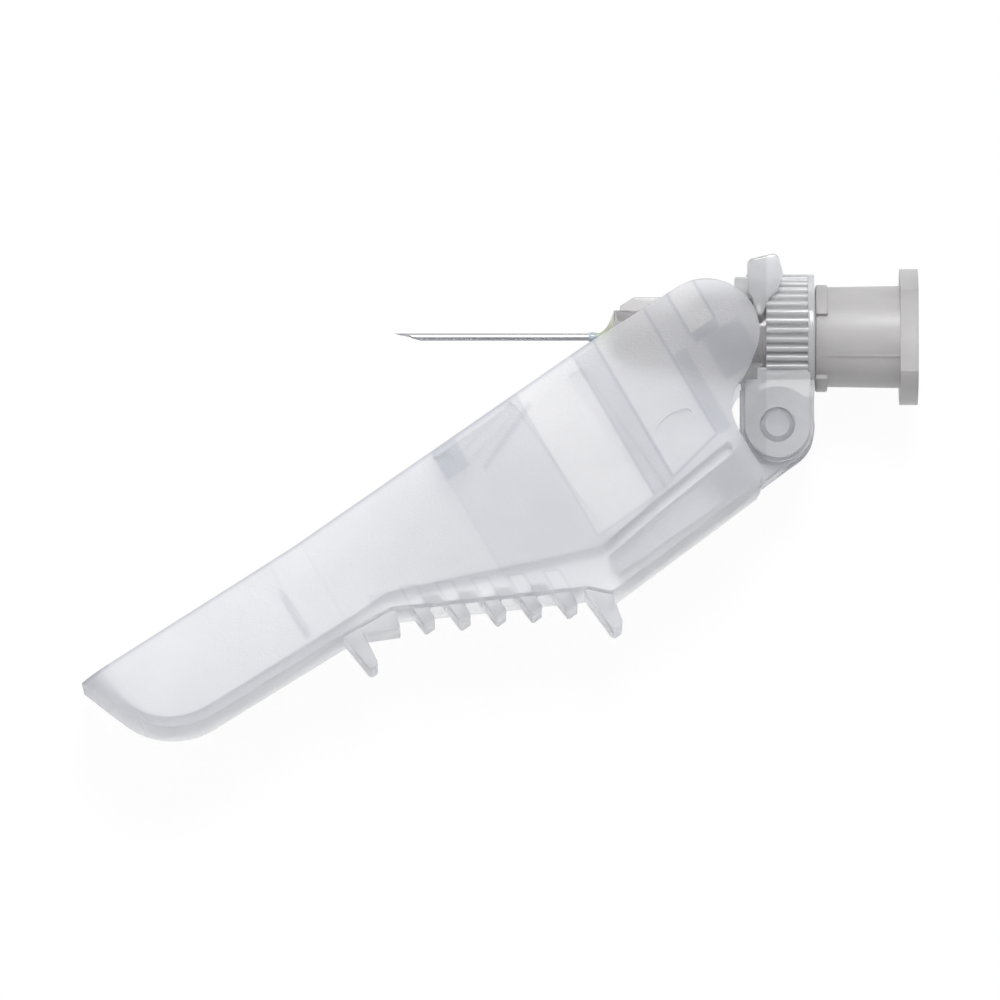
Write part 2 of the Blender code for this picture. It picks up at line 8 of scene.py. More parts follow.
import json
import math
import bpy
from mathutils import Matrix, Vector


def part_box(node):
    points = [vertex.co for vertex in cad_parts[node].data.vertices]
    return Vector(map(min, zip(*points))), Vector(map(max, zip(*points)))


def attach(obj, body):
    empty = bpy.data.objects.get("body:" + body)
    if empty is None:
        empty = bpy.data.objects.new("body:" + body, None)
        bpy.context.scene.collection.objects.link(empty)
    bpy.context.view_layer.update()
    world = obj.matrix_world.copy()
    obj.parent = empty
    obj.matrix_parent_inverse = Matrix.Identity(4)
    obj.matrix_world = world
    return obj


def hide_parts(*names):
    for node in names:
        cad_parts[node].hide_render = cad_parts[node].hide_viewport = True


bl_info = {
    "name": "Safety Needle",
    "version": (1, 0, 0),
    "blender": (4, 5, 0),
    "location": "3D View > Sidebar > Safety Needle",
    "description": "Builds a hypodermic needle with a knurled collar and a hinged frosted shield",
    "category": "Mesh",
}

import bmesh
import bpy
from bpy.props import FloatProperty, FloatVectorProperty, IntProperty, PointerProperty
from bpy.types import Operator, Panel, PropertyGroup
from mathutils import Matrix, Vector

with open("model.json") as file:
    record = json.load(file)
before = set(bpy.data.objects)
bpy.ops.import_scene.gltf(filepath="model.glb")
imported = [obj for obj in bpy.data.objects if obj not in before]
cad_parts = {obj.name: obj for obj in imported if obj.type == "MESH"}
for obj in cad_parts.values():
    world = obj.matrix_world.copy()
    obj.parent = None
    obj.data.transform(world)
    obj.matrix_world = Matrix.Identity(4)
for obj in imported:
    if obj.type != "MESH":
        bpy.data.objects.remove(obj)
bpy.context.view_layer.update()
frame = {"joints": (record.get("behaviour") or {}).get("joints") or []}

MM = 0.001
MERGE = 1e-7
FLAT_ANGLE = math.radians(0.05)
JOINTS = {joint["name"]: joint for joint in frame["joints"]}
SWIVEL = Vector(JOINTS["collar_swivel"]["pos_m"])
PIVOT = Vector(JOINTS["shield_hinge"]["pos_m"])
REST_ANGLE = math.radians(-JOINTS["shield_hinge"]["range_deg"][0])
NOSE = Vector((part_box("hub")[0][0], SWIVEL.y, SWIVEL.z))
PIVOT_X = (PIVOT.x - NOSE.x) / MM
PIVOT_DROP = (NOSE.y - PIVOT.y) / MM


# Cannula
CANNULA_EXPOSED = 12.7
CANNULA_SEATED = 5.4
CANNULA_BORE_R = 0.105
BEVEL_ANGLE = 14.0
LANCET_TURN = 38.0
LANCET_SHIFT = 0.072
CUTTER_SIZE = 10.0

# Adhesive
BOND_GAP = 0.03
TUBE_GAP = 0.01
BEAD_START = 1.45
BEAD_END = 0.92
BEAD_R = 0.29
BEAD_FADE = 0.1
CONE_R = 1.42
CONE_NECK_R = 0.24
CONE_CURVE = 2.2
CONE_STEPS = 24
BEAD_STEPS = 16
RECESS_R = 0.62
RECESS_DEPTH = 0.5

# Hub
NOSE_R = 1.55
HEAD_START = 4.4
HEAD_CHAMFER = 0.35
HEAD_R = 2.71
HEAD_END = 8.26
JOURNAL_R = 2.57
JOURNAL_END = 11.62
BARREL_R = 2.87
BARREL_END_R = 2.96
HUB_LENGTH = 17.53
FIN_COUNT = 4
FIN_START = 0.37
FIN_ROOT_R = 1.75
FIN_R = 2.27
FIN_CHAMFER = 0.8
FIN_INSIDE_R = 0.8
FIN_OVERLAP = 0.2
FIN_FOOT_EDGE = 0.08
FIN_TOP_EDGE = 0.15
FLANGE_R = 3.92
FLANGE_FLAT = 3.14
FLANGE_THICKNESS = 1.04
FLANGE_MOUTH = 0.4
BARREL_BITE = 0.3
LUER_MOUTH_R = 2.15
LUER_TAPER = 0.03
LUER_DEPTH = 9.0
CHAMBER_R = 1.1
CHAMBER_END = 6.4
CHAMBER_CONE = 0.8
LUG_COUNT = 3
LUG_R = 3.17
LUG_WIDTH = 0.7
LUG_SPAN = 46.0
LUG_MIDDLE = 48.5
LUG_EDGE = 1.5
PARTING_TURN = 118.0
PARTING_RISE = 0.08
NOSE_ROUGH = 0.12
BARREL_ROUGH = 0.34
FLOW_ROUGH = 0.1
NOSE_CLEAR = 0.8
BARREL_CLEAR = 0.55

# Collar
COLLAR_GAP = 0.06
RING_START = 8.77
RING_END = JOURNAL_END - COLLAR_GAP
RIM_WIDTH = 0.36
RING_R = 3.63
RIDGE_POINTS = 12
RIM_RISE = 0.02
RIM_OVERLAP = 0.05
RING_FADE = 0.05
GROOVE_FLOOR = (0.31, 0.28)
GROOVE_TOP = (0.06, 0.2)
# Painted shade in the ring's grooves, and on the tongue and wings in front of the ring
GROOVE_SHADE = 0.3
WING_SHADE = 0.12
EAR_IN = 1.95
EAR_STEP = 2.35
EAR_OUT = 2.75
EAR_R = 1.9
EAR_BACK_R = 2.11
EAR_BACK_RISE = 0.1
EAR_OVERLAP = 0.2
EAR_TOP = 2.1
EAR_FRONT_TOP = 2.75
EAR_FRONT_STEP = 0.72
BLOCK_BOTTOM = 3.7
BLOCK_RISE = 0.3
BLOCK_FRONT_INSET = 0.2
BLOCK_BACK_INSET = 0.02
BLOCK_OVERLAP = 0.1
TONGUE_START = 6.97
TONGUE_R = 3.48
TONGUE_IN_R = 2.88
MOUTH_R = 2.84
TONGUE_HALF_ANGLE = 56.0
TONGUE_OVERLAP = 0.3
WING_IN = 2.9
WING_OUT = 3.4
WING_EDGE = 2.0
WING_FRONT = TONGUE_START + 0.7
WING = [
    (0.0, 2.3, 0.3), (0.0, 4.1, 0.35), (1.75, 4.52, 0.35), (2.08, 3.3, 0.3), (1.75, 2.35, 0.4),
    (1.2, 1.75, 0.4), (0.85, 0.8, 0.18), (0.5, 0.95, 0.18), (0.3, 1.8, 0.3),
]
CUT_PAST = 0.5

# Hinge
HOLE_R = 1.0
PIN_GAP = 0.05
PIN_END_R = 0.68
PIN_CHAMFER = 0.3
PIN_RECESS = 0.05
PIN_EDGE = 0.04
PIN_ROOT = 0.2
ARM_GAP = 0.1
ARM_IN = 1.05
ARM_R = 2.15
ARM_SPAN = (-90.0, 118.0)

# Shield
CHANNEL_HALF = 3.8
WALL_ROOT = CHANNEL_HALF + 0.1
SHIELD_HALF = 4.5
CORNER_R = 0.6
UNDER_REACH = 0.6
UNDER_PAST = 0.3
TIP_REACH = 0.4
SPINE = 0.65
TIP_WALL = 0.4
OPEN_EDGE = 9.92
KNEE_X = -27.0
DOME_FOOT_X = -6.5
TIP = (-41.35, 10.5)
NOSE_ARC = (-36.0, 9.3, 4.68)
NOSE_ARC_SPAN = (197.0, 266.0)
NOSE_PLAN_R = 2.2
DISTAL = (-27.3, 4.15)
PAD = (-24.4, 3.86)
PAD_EDGE = 0.6
HEEL = (-14.4, -1.6)
HEEL_EDGE = 0.5
PAD_SLOPE = (HEEL[1] - PAD[1]) / (HEEL[0] - PAD[0])
BACK = (-13.4, -2.65)
BACK_END = (-2.9, -2.3)
BACK_CORNER = [(-5.9, -2.3, 0), (-2.3, -2.2, 0.6), (-2.27, 3.0, 0)]
ARM_ROOT = [(-2.75, 0.3), (-5.2, -0.1), (-5.2, BACK_END[1]), (-0.6, -ARM_R)]
DOME = (-0.4, 6.6, 3.05)
DOME_SPAN = (-52.0, 90.0)
THROAT = [(0.25, 3.42), (-0.94, 2.95), (-1.78, 2.08), (-2.14, 0.86), (-2.27, -0.67)]
FLOOR = [(-24.0, 4.75), (-12.4, -0.1), (-8.7, 0.3), (-3.0, 0.72)]
FLOOR_LEAD = 0.4
FLOOR_THICKNESS = 0.7
BACK_PLATE = 0.7
TUNNEL_X = -12.4
TUNNEL_TOP = 1.5
CUT_END_X = 6.0
CUT_TOP_Y = 12.5
PLAN_AHEAD = 0.2
PLAN_END_X = 12.0
PLAN_REACH = 20.0
TOOTH_COUNT = 5
TOOTH_X = -22.9
TOOTH_PITCH = 1.81
TOOTH_ROOT = 0.84
TOOTH_TIP = 0.72
TOOTH_LENGTH = 1.05
TOOTH_EDGE = 0.15
TOOTH_BITE = 0.6
TOOTH_HALF = 2.7
WEDGE = [(-26.85, 4.5, 0), (-26.6, 3.75, 0.2), (-24.5, 2.68, 0.12), (-24.2, 3.7, 0), (-24.0, 4.4, 0)]
WEDGE_HALF = 2.62
GRIP_FINS = [
    [(-27.5, 4.5, 0), (-27.3, 1.75, 0.25), (-26.7, 1.75, 0.25), (-26.3, 4.45, 0)],
    [(-14.6, -1.2, 0), (-14.55, -4.4, 0.3), (-13.85, -4.4, 0.3), (-13.2, -2.0, 0)],
]
GROOVE_HALF = 2.2
GROOVE_DEPTH = 0.75
GROOVE_MARGIN = 0.08
GROOVE_START = 0.4
PANEL = [(-17.9, 2.0), (-11.8, -0.3), (-11.8, 9.5), (-17.5, 9.5)]
PANEL_DEPTH = 0.35
REAR_RIB = (-8.3, -7.4, 0.1, 9.0)
FRONT_RIB = (-29.2, -28.85, 4.6, 8.2)
RIB_DEPTH = 0.5
CATCH = (-1.5, 0.25, 6.1, 6.5)
CATCH_DEPTH = 0.3
POCKET = (-1.45, 0.28, 6.54, 9.3)
POCKET_DEPTH = 0.3
POCKET_START = 0.1
HOOK = [
    (-11.85, 9.7, 0), (-15.9, 8.95, 0.3), (-17.5, 9.7, 0.15), (-17.5, 7.65, 0.15),
    (-16.5, 7.65, 0.2), (-15.9, 8.35, 0.3), (-11.85, 9.15, 0),
]
LOCK_GAP = 0.6
MARK_MIDDLE = (-4.97, 3.35)
MARK_HALF = (1.2, 0.5)
MARK_DEPTH = 0.22
MARK_PAST = 0.3

# Finish of the shield's walls, with painted light and shade in their colour
WALL_LEAN = 0.08
# Painted light and shade: the walls' level outside the zones, partly the plastic's own grey-blue, and the
# bluish tint of the deepest painted shade
FRAME_SHADE_LEVEL = 0.9
DEEPEST_SHADE = 0.7
SHADE_TINT = (0.665, 0.685, 0.735)
ZONE_SOFT = 0.15
# Painted shade along the nose's spine, then a stripe of painted light with a dark painted outline over each
# tooth
SPINE_SHADE = -0.06
STRIPE_HEIGHT = 1.3
STRIPE_LIGHT = 0.03
STRIPE_SHADE_LINE = 0.1
SPINE_FALL = 0.054
# Darkness of the painted dark outlines along the zones' edges
SHADE_LINE_PEAK = 4.0
WALL_SKIN = (0.2, 0.05)

# Zones of painted light and shade on the side walls: from x, to x, from y, to y, slope of those, change of
# tone (paler is painted light, darker is painted shade), depth of the painted dark outline
SIDE_LIGHT_AND_SHADE_ZONES = (
    (-60.0, -18.1, -40.0, 20.0, 0.0, 0.035, 0.04),
    (-12.3, -8.3, 0.45, 20.0, 0.0, 0.07, 0.09),
    (-8.3, -6.95, 0.6, 9.5, 0.0, -0.05, 0.04),
    (-6.85, -3.4, 2.0, 20.0, 0.18, 0.03, 0.17),
    (-3.25, -2.5, 1.3, 6.5, 0.0, -0.1, 0.03),
    (-18.2, -16.6, 8.0, 9.8, 0.0, -0.12, 0.0),
    (-16.0, -11.8, 12.75, 13.1, 0.36, -0.1, 0.0),
    (-29.85, -29.55, 5.1, 7.9, 0.0, -0.1, 0.0),
    (-29.5, -27.3, 4.7, 20.0, 0.0, 0.012, 0.03),
    (-27.8, -6.5, 9.8, 20.0, 0.0, -0.24, 0.0),
    (-45.0, -27.8, 8.71, 20.0, -0.0404, -0.24, 0.0),
    (-1.83, -0.12, 6.92, 9.7, 0.0, 0.05, 0.17),
    (-1.83, -0.12, 6.35, 6.85, 0.0, -0.14, 0.0),
    (-1.4, 1.1, 3.6, 6.3, 0.0, -0.1, 0.0),
    (-25.6, -12.5, -6.0, -5.3, -0.418, -0.06, 0.0),
    (-12.3, -3.0, 0.3, 1.0, 0.09, -0.06, 0.0),
)
OUTER_ROUGH = 0.3
INNER_ROUGH = 0.5
CLOUD_ROUGH = 0.06
GRAIN_DEPTH = 0.14

# Camera and studio
CAMERA_DISTANCE = 1.0
CAMERA_PITCH = math.radians(6.3)
CAMERA_TARGET = Vector((-6.54 * MM, -9.45 * MM, 0.0))
FRAME_WIDTH = 0.0576
SENSOR = 36.0
KEY_PLACE = (0.05, 0.38, 0.6)
SKY_FALL = (("Y", 0.1, -0.7), ("Z", 0.1, 0.45))
LOW_SIDE = 0.68
SHADOW_SHARE = 0.08
FLOOR_GLOW = 0.945
WHITE = (1.0, 1.0, 1.0)

# Sockets of the colour mix, which share their names
MIX_FACTOR = 0
MIX_FIRST = 6
MIX_SECOND = 7
MIX_COLOUR = 2


def length(name, description, default):
    """A size property, in metres."""
    return FloatProperty(name=name, description=description, default=default, precision=6, unit="LENGTH")


def colour(name, description, default):
    """A colour property."""
    return FloatVectorProperty(name=name, description=description, default=default, subtype="COLOR",
                               size=3, min=0.0, max=1.0)


class CannulaSettings(PropertyGroup):
    """Sizes and colours of the cannula and the adhesive that holds it."""

    radius: length("Radius", "Outer radius of the steel tube", 0.205 * MM)
    steps: IntProperty(name="Steps", description="Facets around the tube", default=72, min=12)
    steel: colour("Steel", "Colour of the drawn steel", (0.54, 0.545, 0.56))
    resin: colour("Resin", "Colour of the cured adhesive", (0.78, 0.83, 0.62))
    bead: colour("Bead", "Colour of the small bead in front of it", (0.72, 0.8, 0.86))


class HubSettings(PropertyGroup):
    """Sizes and colours of the hub."""

    steps: IntProperty(name="Steps", description="Facets around the hub", default=144, min=24)
    edge: length("Edge radius", "Rounding of the moulded edges", 0.08 * MM)
    fin_thickness: length("Fin thickness", "Thickness of the nose's four fins", 0.8 * MM)
    parting_line: length("Parting line", "Width of the mould's parting line on the barrel", 0.07 * MM)
    plastic: colour("Plastic", "Colour of the grey moulding", (0.75, 0.74, 0.745))


class CollarSettings(PropertyGroup):
    """Sizes and colours of the collar."""

    ridges: IntProperty(name="Ridges", description="Ridges around the ring", default=40, min=8)
    ridge_depth: length("Ridge depth", "Depth of the grooves between the ridges", 0.25 * MM)
    edge: length("Edge radius", "Rounding of the moulded edges", 0.07 * MM)
    plastic: colour("Plastic", "Colour of the clear moulding", (0.81, 0.815, 0.835))


class ShieldSettings(PropertyGroup):
    """Sizes and colours of the shield."""

    edge: length("Edge radius", "Rounding of the open edges", 0.12 * MM)
    detail_edge: length("Detail edge", "Rounding of teeth, arms and ribs", 0.08 * MM)
    grain: length("Grain", "Size of the moulded surface's fine grain", 0.12 * MM)
    plastic: colour("Plastic", "Colour of the frosted moulding", (0.952, 0.95, 0.96))


class StageSettings(PropertyGroup):
    """Light and floor."""

    floor_size: length("Floor size", "Width of the floor", 3.0)
    key_size: length("Key size", "Width of the large soft light", 0.22)
    key_power: FloatProperty(name="Key", description="Power of the large soft light", default=3.2,
                             min=0.0, unit="POWER")
    fill: FloatProperty(name="Fill", description="Strength of the even light from all round", default=0.6,
                        min=0.0)
    floor: colour("Floor", "Colour of the floor", (0.8, 0.8, 0.8))


class NeedleSettings(PropertyGroup):
    """All settings of the part."""

    cannula: PointerProperty(type=CannulaSettings)
    hub: PointerProperty(type=HubSettings)
    collar: PointerProperty(type=CollarSettings)
    shield: PointerProperty(type=ShieldSettings)
    stage: PointerProperty(type=StageSettings)


def point_on(cx, cy, radius, degrees):
    """A point on a circle."""
    angle = math.radians(degrees)
    return cx + radius * math.cos(angle), cy + radius * math.sin(angle)


def arc(cx, cy, radius, start, end, steps):
    """Points along an arc, ends included."""
    return [point_on(cx, cy, radius, start + (end - start) * i / steps) for i in range(steps + 1)]


def circle(cx, cy, radius, steps):
    """A closed circle's points, with its first point not repeated."""
    return arc(cx, cy, radius, 0.0, 360.0, steps)[:-1]


def spline(points, steps):
    """A smooth curve through the points (Catmull-Rom), ends included."""
    padded = [points[0]] + list(points) + [points[-1]]
    out = []
    for a, b, c, d in zip(padded, padded[1:], padded[2:], padded[3:]):
        for i in range(steps):
            t = i / steps
            out.append(tuple(
                0.5 * (2 * q + (r - p) * t + (2 * p - 5 * q + 4 * r - s) * t**2
                       + (3 * q - p - 3 * r + s) * t**3)
                for p, q, r, s in zip(a, b, c, d)
            ))
    return out + [points[-1]]


def rounded(corners, steps=5):
    """An outline whose corners, given as (x, y, radius), are cut by arcs that touch both sides."""
    out = []
    for i, (x, y, radius) in enumerate(corners):
        if not radius:
            out.append((x, y))
            continue
        before, after = corners[i - 1], corners[(i + 1) % len(corners)]
        a = math.atan2(before[1] - y, before[0] - x)
        b = math.atan2(after[1] - y, after[0] - x)
        turn = (b - a + math.pi) % (2 * math.pi) - math.pi
        half = abs(turn) / 2
        middle = a + turn / 2
        cx = x + radius / math.sin(half) * math.cos(middle)
        cy = y + radius / math.sin(half) * math.sin(middle)
        start = a - math.copysign(math.pi / 2, turn)
        sweep = -math.copysign(math.pi - 2 * half, turn)
        for k in range(steps + 1):
            angle = start + sweep * k / steps
            out.append((cx + radius * math.cos(angle), cy + radius * math.sin(angle)))
    return out


def box_outline(x0, x1, y0, y1):
    """A rectangle's four corners."""
    return [(x0, y0), (x1, y0), (x1, y1), (x0, y1)]


def pad_y(x):
    """Height of the pad's underside at x."""
    return PAD[1] + PAD_SLOPE * (x - PAD[0])


def add_object(name, data):
    """A new object in the scene."""
    obj = bpy.data.objects.new(name, data)
    bpy.context.scene.collection.objects.link(obj)
    return obj


def tidy(obj):
    """Weld an object's mesh, join its flat facets and face them outwards."""
    bm = bmesh.new()
    bm.from_mesh(obj.data)
    bmesh.ops.remove_doubles(bm, verts=bm.verts, dist=MERGE)
    bmesh.ops.dissolve_limit(bm, angle_limit=FLAT_ANGLE, verts=bm.verts, edges=bm.edges)
    bmesh.ops.recalc_face_normals(bm, faces=bm.faces)
    bm.to_mesh(obj.data)
    bm.free()
    return obj


def bake(obj):
    """Replace an object's data by its evaluated mesh, in the object's own frame."""
    bpy.context.view_layer.update()
    evaluated = obj.evaluated_get(bpy.context.evaluated_depsgraph_get())
    mesh = bpy.data.meshes.new_from_object(evaluated)
    if obj.type == "CURVE":
        baked = add_object(obj.name + "_mesh", mesh)
        bpy.data.objects.remove(obj)
        return baked
    obj.modifiers.clear()
    obj.data = mesh
    return obj


def plate(name, outlines, z0, z1, edge=0.0):
    """A flat plate between two heights, with rounded edges where asked: extra outlines are holes."""
    curve = bpy.data.curves.new(name, "CURVE")
    curve.dimensions = "2D"
    curve.fill_mode = "BOTH"
    curve.extrude = ((z1 - z0) / 2 - edge) * MM
    curve.bevel_depth = edge * MM
    curve.bevel_resolution = 2
    curve.offset = -edge * MM
    for outline in outlines:
        run = curve.splines.new("POLY")
        run.points.add(len(outline) - 1)
        for point, (x, y) in zip(run.points, outline):
            point.co = (x * MM, y * MM, 0.0, 1.0)
        run.use_cyclic_u = True
    obj = bake(add_object(name, curve))
    half, middle = (z1 - z0) / 2 * MM, (z0 + z1) / 2 * MM
    for vertex in obj.data.vertices:
        z = vertex.co.z
        if abs(abs(z) - half) < MERGE:
            vertex.co.z = (z1 if z > 0.0 else z0) * MM
        else:
            vertex.co.z = z + middle
    return tidy(obj)


def across(obj):
    """Stand a plate drawn in the Y-Z plane upright, so that its thickness runs along X."""
    obj.data.transform(Matrix(((0, 0, 1, 0), (1, 0, 0, 0), (0, 1, 0, 0), (0, 0, 0, 1))))
    return obj


def laid(obj):
    """Turn a plate drawn in the X-Z plane, so that its thickness runs along Y."""
    obj.data.transform(Matrix(((1, 0, 0, 0), (0, 0, 1, 0), (0, -1, 0, 0), (0, 0, 0, 1))))
    return obj


def turned(name, profile, steps, axis="X"):
    """A solid turned about X or Z from a closed profile of (distance along, radius) points."""
    mesh = bpy.data.meshes.new(name)
    count = len(profile)
    edges = [(i, (i + 1) % count) for i in range(count)]
    if axis == "X":
        points = [(x * MM, 0.0, r * MM) for x, r in profile]
    else:
        points = [(r * MM, 0.0, z * MM) for z, r in profile]
    mesh.from_pydata(points, edges, [])
    obj = add_object(name, mesh)
    screw = obj.modifiers.new("turn", "SCREW")
    screw.axis = axis
    screw.steps = steps
    screw.render_steps = steps
    screw.use_merge_vertices = True
    screw.merge_threshold = MERGE
    return tidy(bake(obj))


def combine(obj, other, operation):
    """Join, cut or intersect two solids, and remove the second."""
    modifier = obj.modifiers.new(operation, "BOOLEAN")
    modifier.operation = operation
    modifier.object = other
    bake(obj)
    bpy.data.objects.remove(other)
    return obj


def join(obj, *others):
    """Union of several solids."""
    for other in others:
        combine(obj, other, "UNION")
    return obj


def cut(obj, *others):
    """An object with several solids taken out of it."""
    for other in others:
        combine(obj, other, "DIFFERENCE")
    return obj


def both_sides(name, outline, z0, z1, edge=0.0):
    """The same plate at +Z and at -Z."""
    return [plate(name, [outline], z0, z1, edge), plate(name, [outline], -z1, -z0, edge)]


def place(obj, name, mat, body, angle=30.0):
    """Name a finished piece, shade it, give it its finish and let it ride on its body."""
    tidy(obj)
    obj.name = name
    obj.data.name = name
    obj.data.materials.clear()
    obj.data.materials.append(mat)
    obj.data.shade_smooth()
    obj.data.set_sharp_from_angle(angle=math.radians(angle))
    bpy.context.view_layer.update()
    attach(obj, body)
    return obj


def principled(mat):
    """The inputs of a material's main shader."""
    return mat.node_tree.nodes["Principled BSDF"].inputs


def new_material(name, **values):
    """A Principled material with the given socket values."""
    mat = bpy.data.materials.new(name)
    mat.use_nodes = True
    for socket, value in values.items():
        principled(mat)[socket.replace("_", " ")].default_value = value
    return mat


def node(mat, kind, **values):
    """A node of a material or world, with its settings and input values."""
    made = mat.node_tree.nodes.new(kind)
    for key, value in values.items():
        if hasattr(made, key):
            setattr(made, key, value)
        else:
            made.inputs[key.replace("_", " ")].default_value = value
    return made


def link(mat, source, target):
    """Join an output socket to an input socket."""
    mat.node_tree.links.new(source, target)


def maths(mat, operation, *values):
    """The result of an operation on sockets and numbers."""
    made = node(mat, "ShaderNodeMath", operation=operation)
    for socket, value in zip(made.inputs, values):
        if isinstance(value, float):
            socket.default_value = value
        else:
            link(mat, value, socket)
    return made.outputs[0]


def distance(mat, a, b):
    """Length of a line that goes a along one axis and b along another."""
    squares = maths(mat, "ADD", maths(mat, "MULTIPLY", a, a), maths(mat, "MULTIPLY", b, b))
    return maths(mat, "SQRT", squares)


def smooth(mat, value, start, end):
    """A smooth step from 0 at the start to 1 at the end."""
    made = node(mat, "ShaderNodeMapRange", interpolation_type="SMOOTHSTEP", From_Min=start, From_Max=end)
    link(mat, value, made.inputs["Value"])
    return made.outputs["Result"]


def step(mat, value, start, end):
    """A smooth step between two distances in millimetres."""
    return smooth(mat, value, start * MM, end * MM)


def between(mat, factor, low, high):
    """A number between two values."""
    made = node(mat, "ShaderNodeMapRange", To_Min=low, To_Max=high)
    link(mat, factor, made.inputs["Value"])
    return made.outputs["Result"]


def mixed(mat, factor, first, second):
    """A colour between two, each given as a colour or as a socket."""
    made = node(mat, "ShaderNodeMix", data_type="RGBA")
    link(mat, factor, made.inputs[MIX_FACTOR])
    for slot, value in ((MIX_FIRST, first), (MIX_SECOND, second)):
        if isinstance(value, bpy.types.NodeSocket):
            link(mat, value, made.inputs[slot])
        else:
            made.inputs[slot].default_value = (*value, 1.0)
    return made.outputs[MIX_COLOUR]


def noise(mat, scale, detail=3.0, stretch=(1.0, 1.0, 1.0)):
    """Noise in the piece's own coordinates, with features about 1 / scale metres wide."""
    place_at = node(mat, "ShaderNodeTexCoord")
    mapping = node(mat, "ShaderNodeMapping", Scale=stretch)
    texture = node(mat, "ShaderNodeTexNoise", Scale=scale, Detail=detail)
    link(mat, place_at.outputs["Object"], mapping.inputs["Vector"])
    link(mat, mapping.outputs["Vector"], texture.inputs["Vector"])
    return texture.outputs["Fac"]


def along_axes(mat, turn=0.0):
    """Distances along a piece's own three axes, which are turned about Z where the piece lies at an angle."""
    place_at = node(mat, "ShaderNodeTexCoord")
    mapping = node(mat, "ShaderNodeMapping", Rotation=(0.0, 0.0, -turn))
    axes = node(mat, "ShaderNodeSeparateXYZ")
    link(mat, place_at.outputs["Object"], mapping.inputs["Vector"])
    link(mat, mapping.outputs["Vector"], axes.inputs[0])
    return axes.outputs


def ramp(mat, factor, stops):
    """A colour ramp over a factor, from (position, colour) stops."""
    made = node(mat, "ShaderNodeValToRGB")
    link(mat, factor, made.inputs["Fac"])
    elements = made.color_ramp.elements
    for i, (position, value) in enumerate(stops):
        element = elements[i] if i < 2 else elements.new(position)
        element.position = position
        element.color = (*value, 1.0)
    return made.outputs["Color"]


def bump(mat, height, strength, depth):
    """Surface relief of the given depth, in metres."""
    made = node(mat, "ShaderNodeBump", Strength=strength, Distance=depth)
    link(mat, height, made.inputs["Height"])
    link(mat, made.outputs["Normal"], principled(mat)["Normal"])


def spread(mat, factor, low, high, socket):
    """A socket's value, which varies over the surface between two numbers."""
    link(mat, between(mat, factor, low, high), principled(mat)[socket])


def absorb(mat, tint, density):
    """Plastic that darkens with the length of the way through it."""
    volume = node(mat, "ShaderNodeVolumeAbsorption", Color=(*tint, 1.0), Density=density)
    link(mat, volume.outputs["Volume"], mat.node_tree.nodes["Material Output"].inputs["Volume"])


def shade(base, factor):
    """A colour made lighter or darker."""
    return tuple(min(1.0, c * factor) for c in base)


def steel_finish(base):
    """Drawn and ground steel, with fine lines along the tube."""
    mat = new_material("cannula_steel", Metallic=1.0, Roughness=0.2, Anisotropic=0.3,
                       Specular_Tint=(0.3, 0.3, 0.32, 1.0))
    lines = noise(mat, 9000.0, 2.0, (0.02, 1.0, 1.0))
    colours = ramp(mat, lines, [(0.3, shade(base, 0.9)), (0.7, shade(base, 1.1))])
    link(mat, colours, principled(mat)["Base Color"])
    spread(mat, lines, 0.16, 0.28, "Roughness")
    bump(mat, lines, 0.3, 0.000004)
    return mat


def resin_finish(base, bead):
    """Glossy cured resin, slightly clear, with a bluish bead in front."""
    mat = new_material("cured_adhesive", Transmission_Weight=0.55, IOR=1.5, Roughness=0.12)
    cloud = noise(mat, 1800.0)
    colours = ramp(mat, cloud, [(0.35, shade(base, 0.94)), (0.65, shade(base, 1.05))])
    past_bead = step(mat, along_axes(mat)[0], -BEAD_END - BEAD_FADE, -BEAD_END + BEAD_FADE)
    link(mat, mixed(mat, past_bead, bead, colours), principled(mat)["Base Color"])
    bump(mat, cloud, 0.5, 0.00003)
    return mat


def hub_finish(base):
    """Translucent grey moulding with a satin surface and faint flow marks."""
    mat = new_material("hub_plastic", Transmission_Weight=BARREL_CLEAR, IOR=1.49)
    flow = noise(mat, 700.0, 4.0, (0.35, 1.0, 1.0))
    grain = noise(mat, 9000.0, 2.0)
    colours = ramp(mat, flow, [(0.3, shade(base, 0.94)), (0.7, shade(base, 1.06))])
    link(mat, colours, principled(mat)["Base Color"])
    barrel = step(mat, along_axes(mat)[0], HEAD_END, JOURNAL_END)
    clear = maths(mat, "MULTIPLY_ADD", barrel, BARREL_CLEAR - NOSE_CLEAR, NOSE_CLEAR)
    link(mat, clear, principled(mat)["Transmission Weight"])
    rough = maths(mat, "MULTIPLY_ADD", barrel, BARREL_ROUGH - NOSE_ROUGH, NOSE_ROUGH)
    rough = maths(mat, "MULTIPLY_ADD", flow, FLOW_ROUGH, rough)
    link(mat, rough, principled(mat)["Roughness"])
    bump(mat, grain, 0.35, 0.00001)
    absorb(mat, (0.7, 0.69, 0.68), 330.0)
    return mat


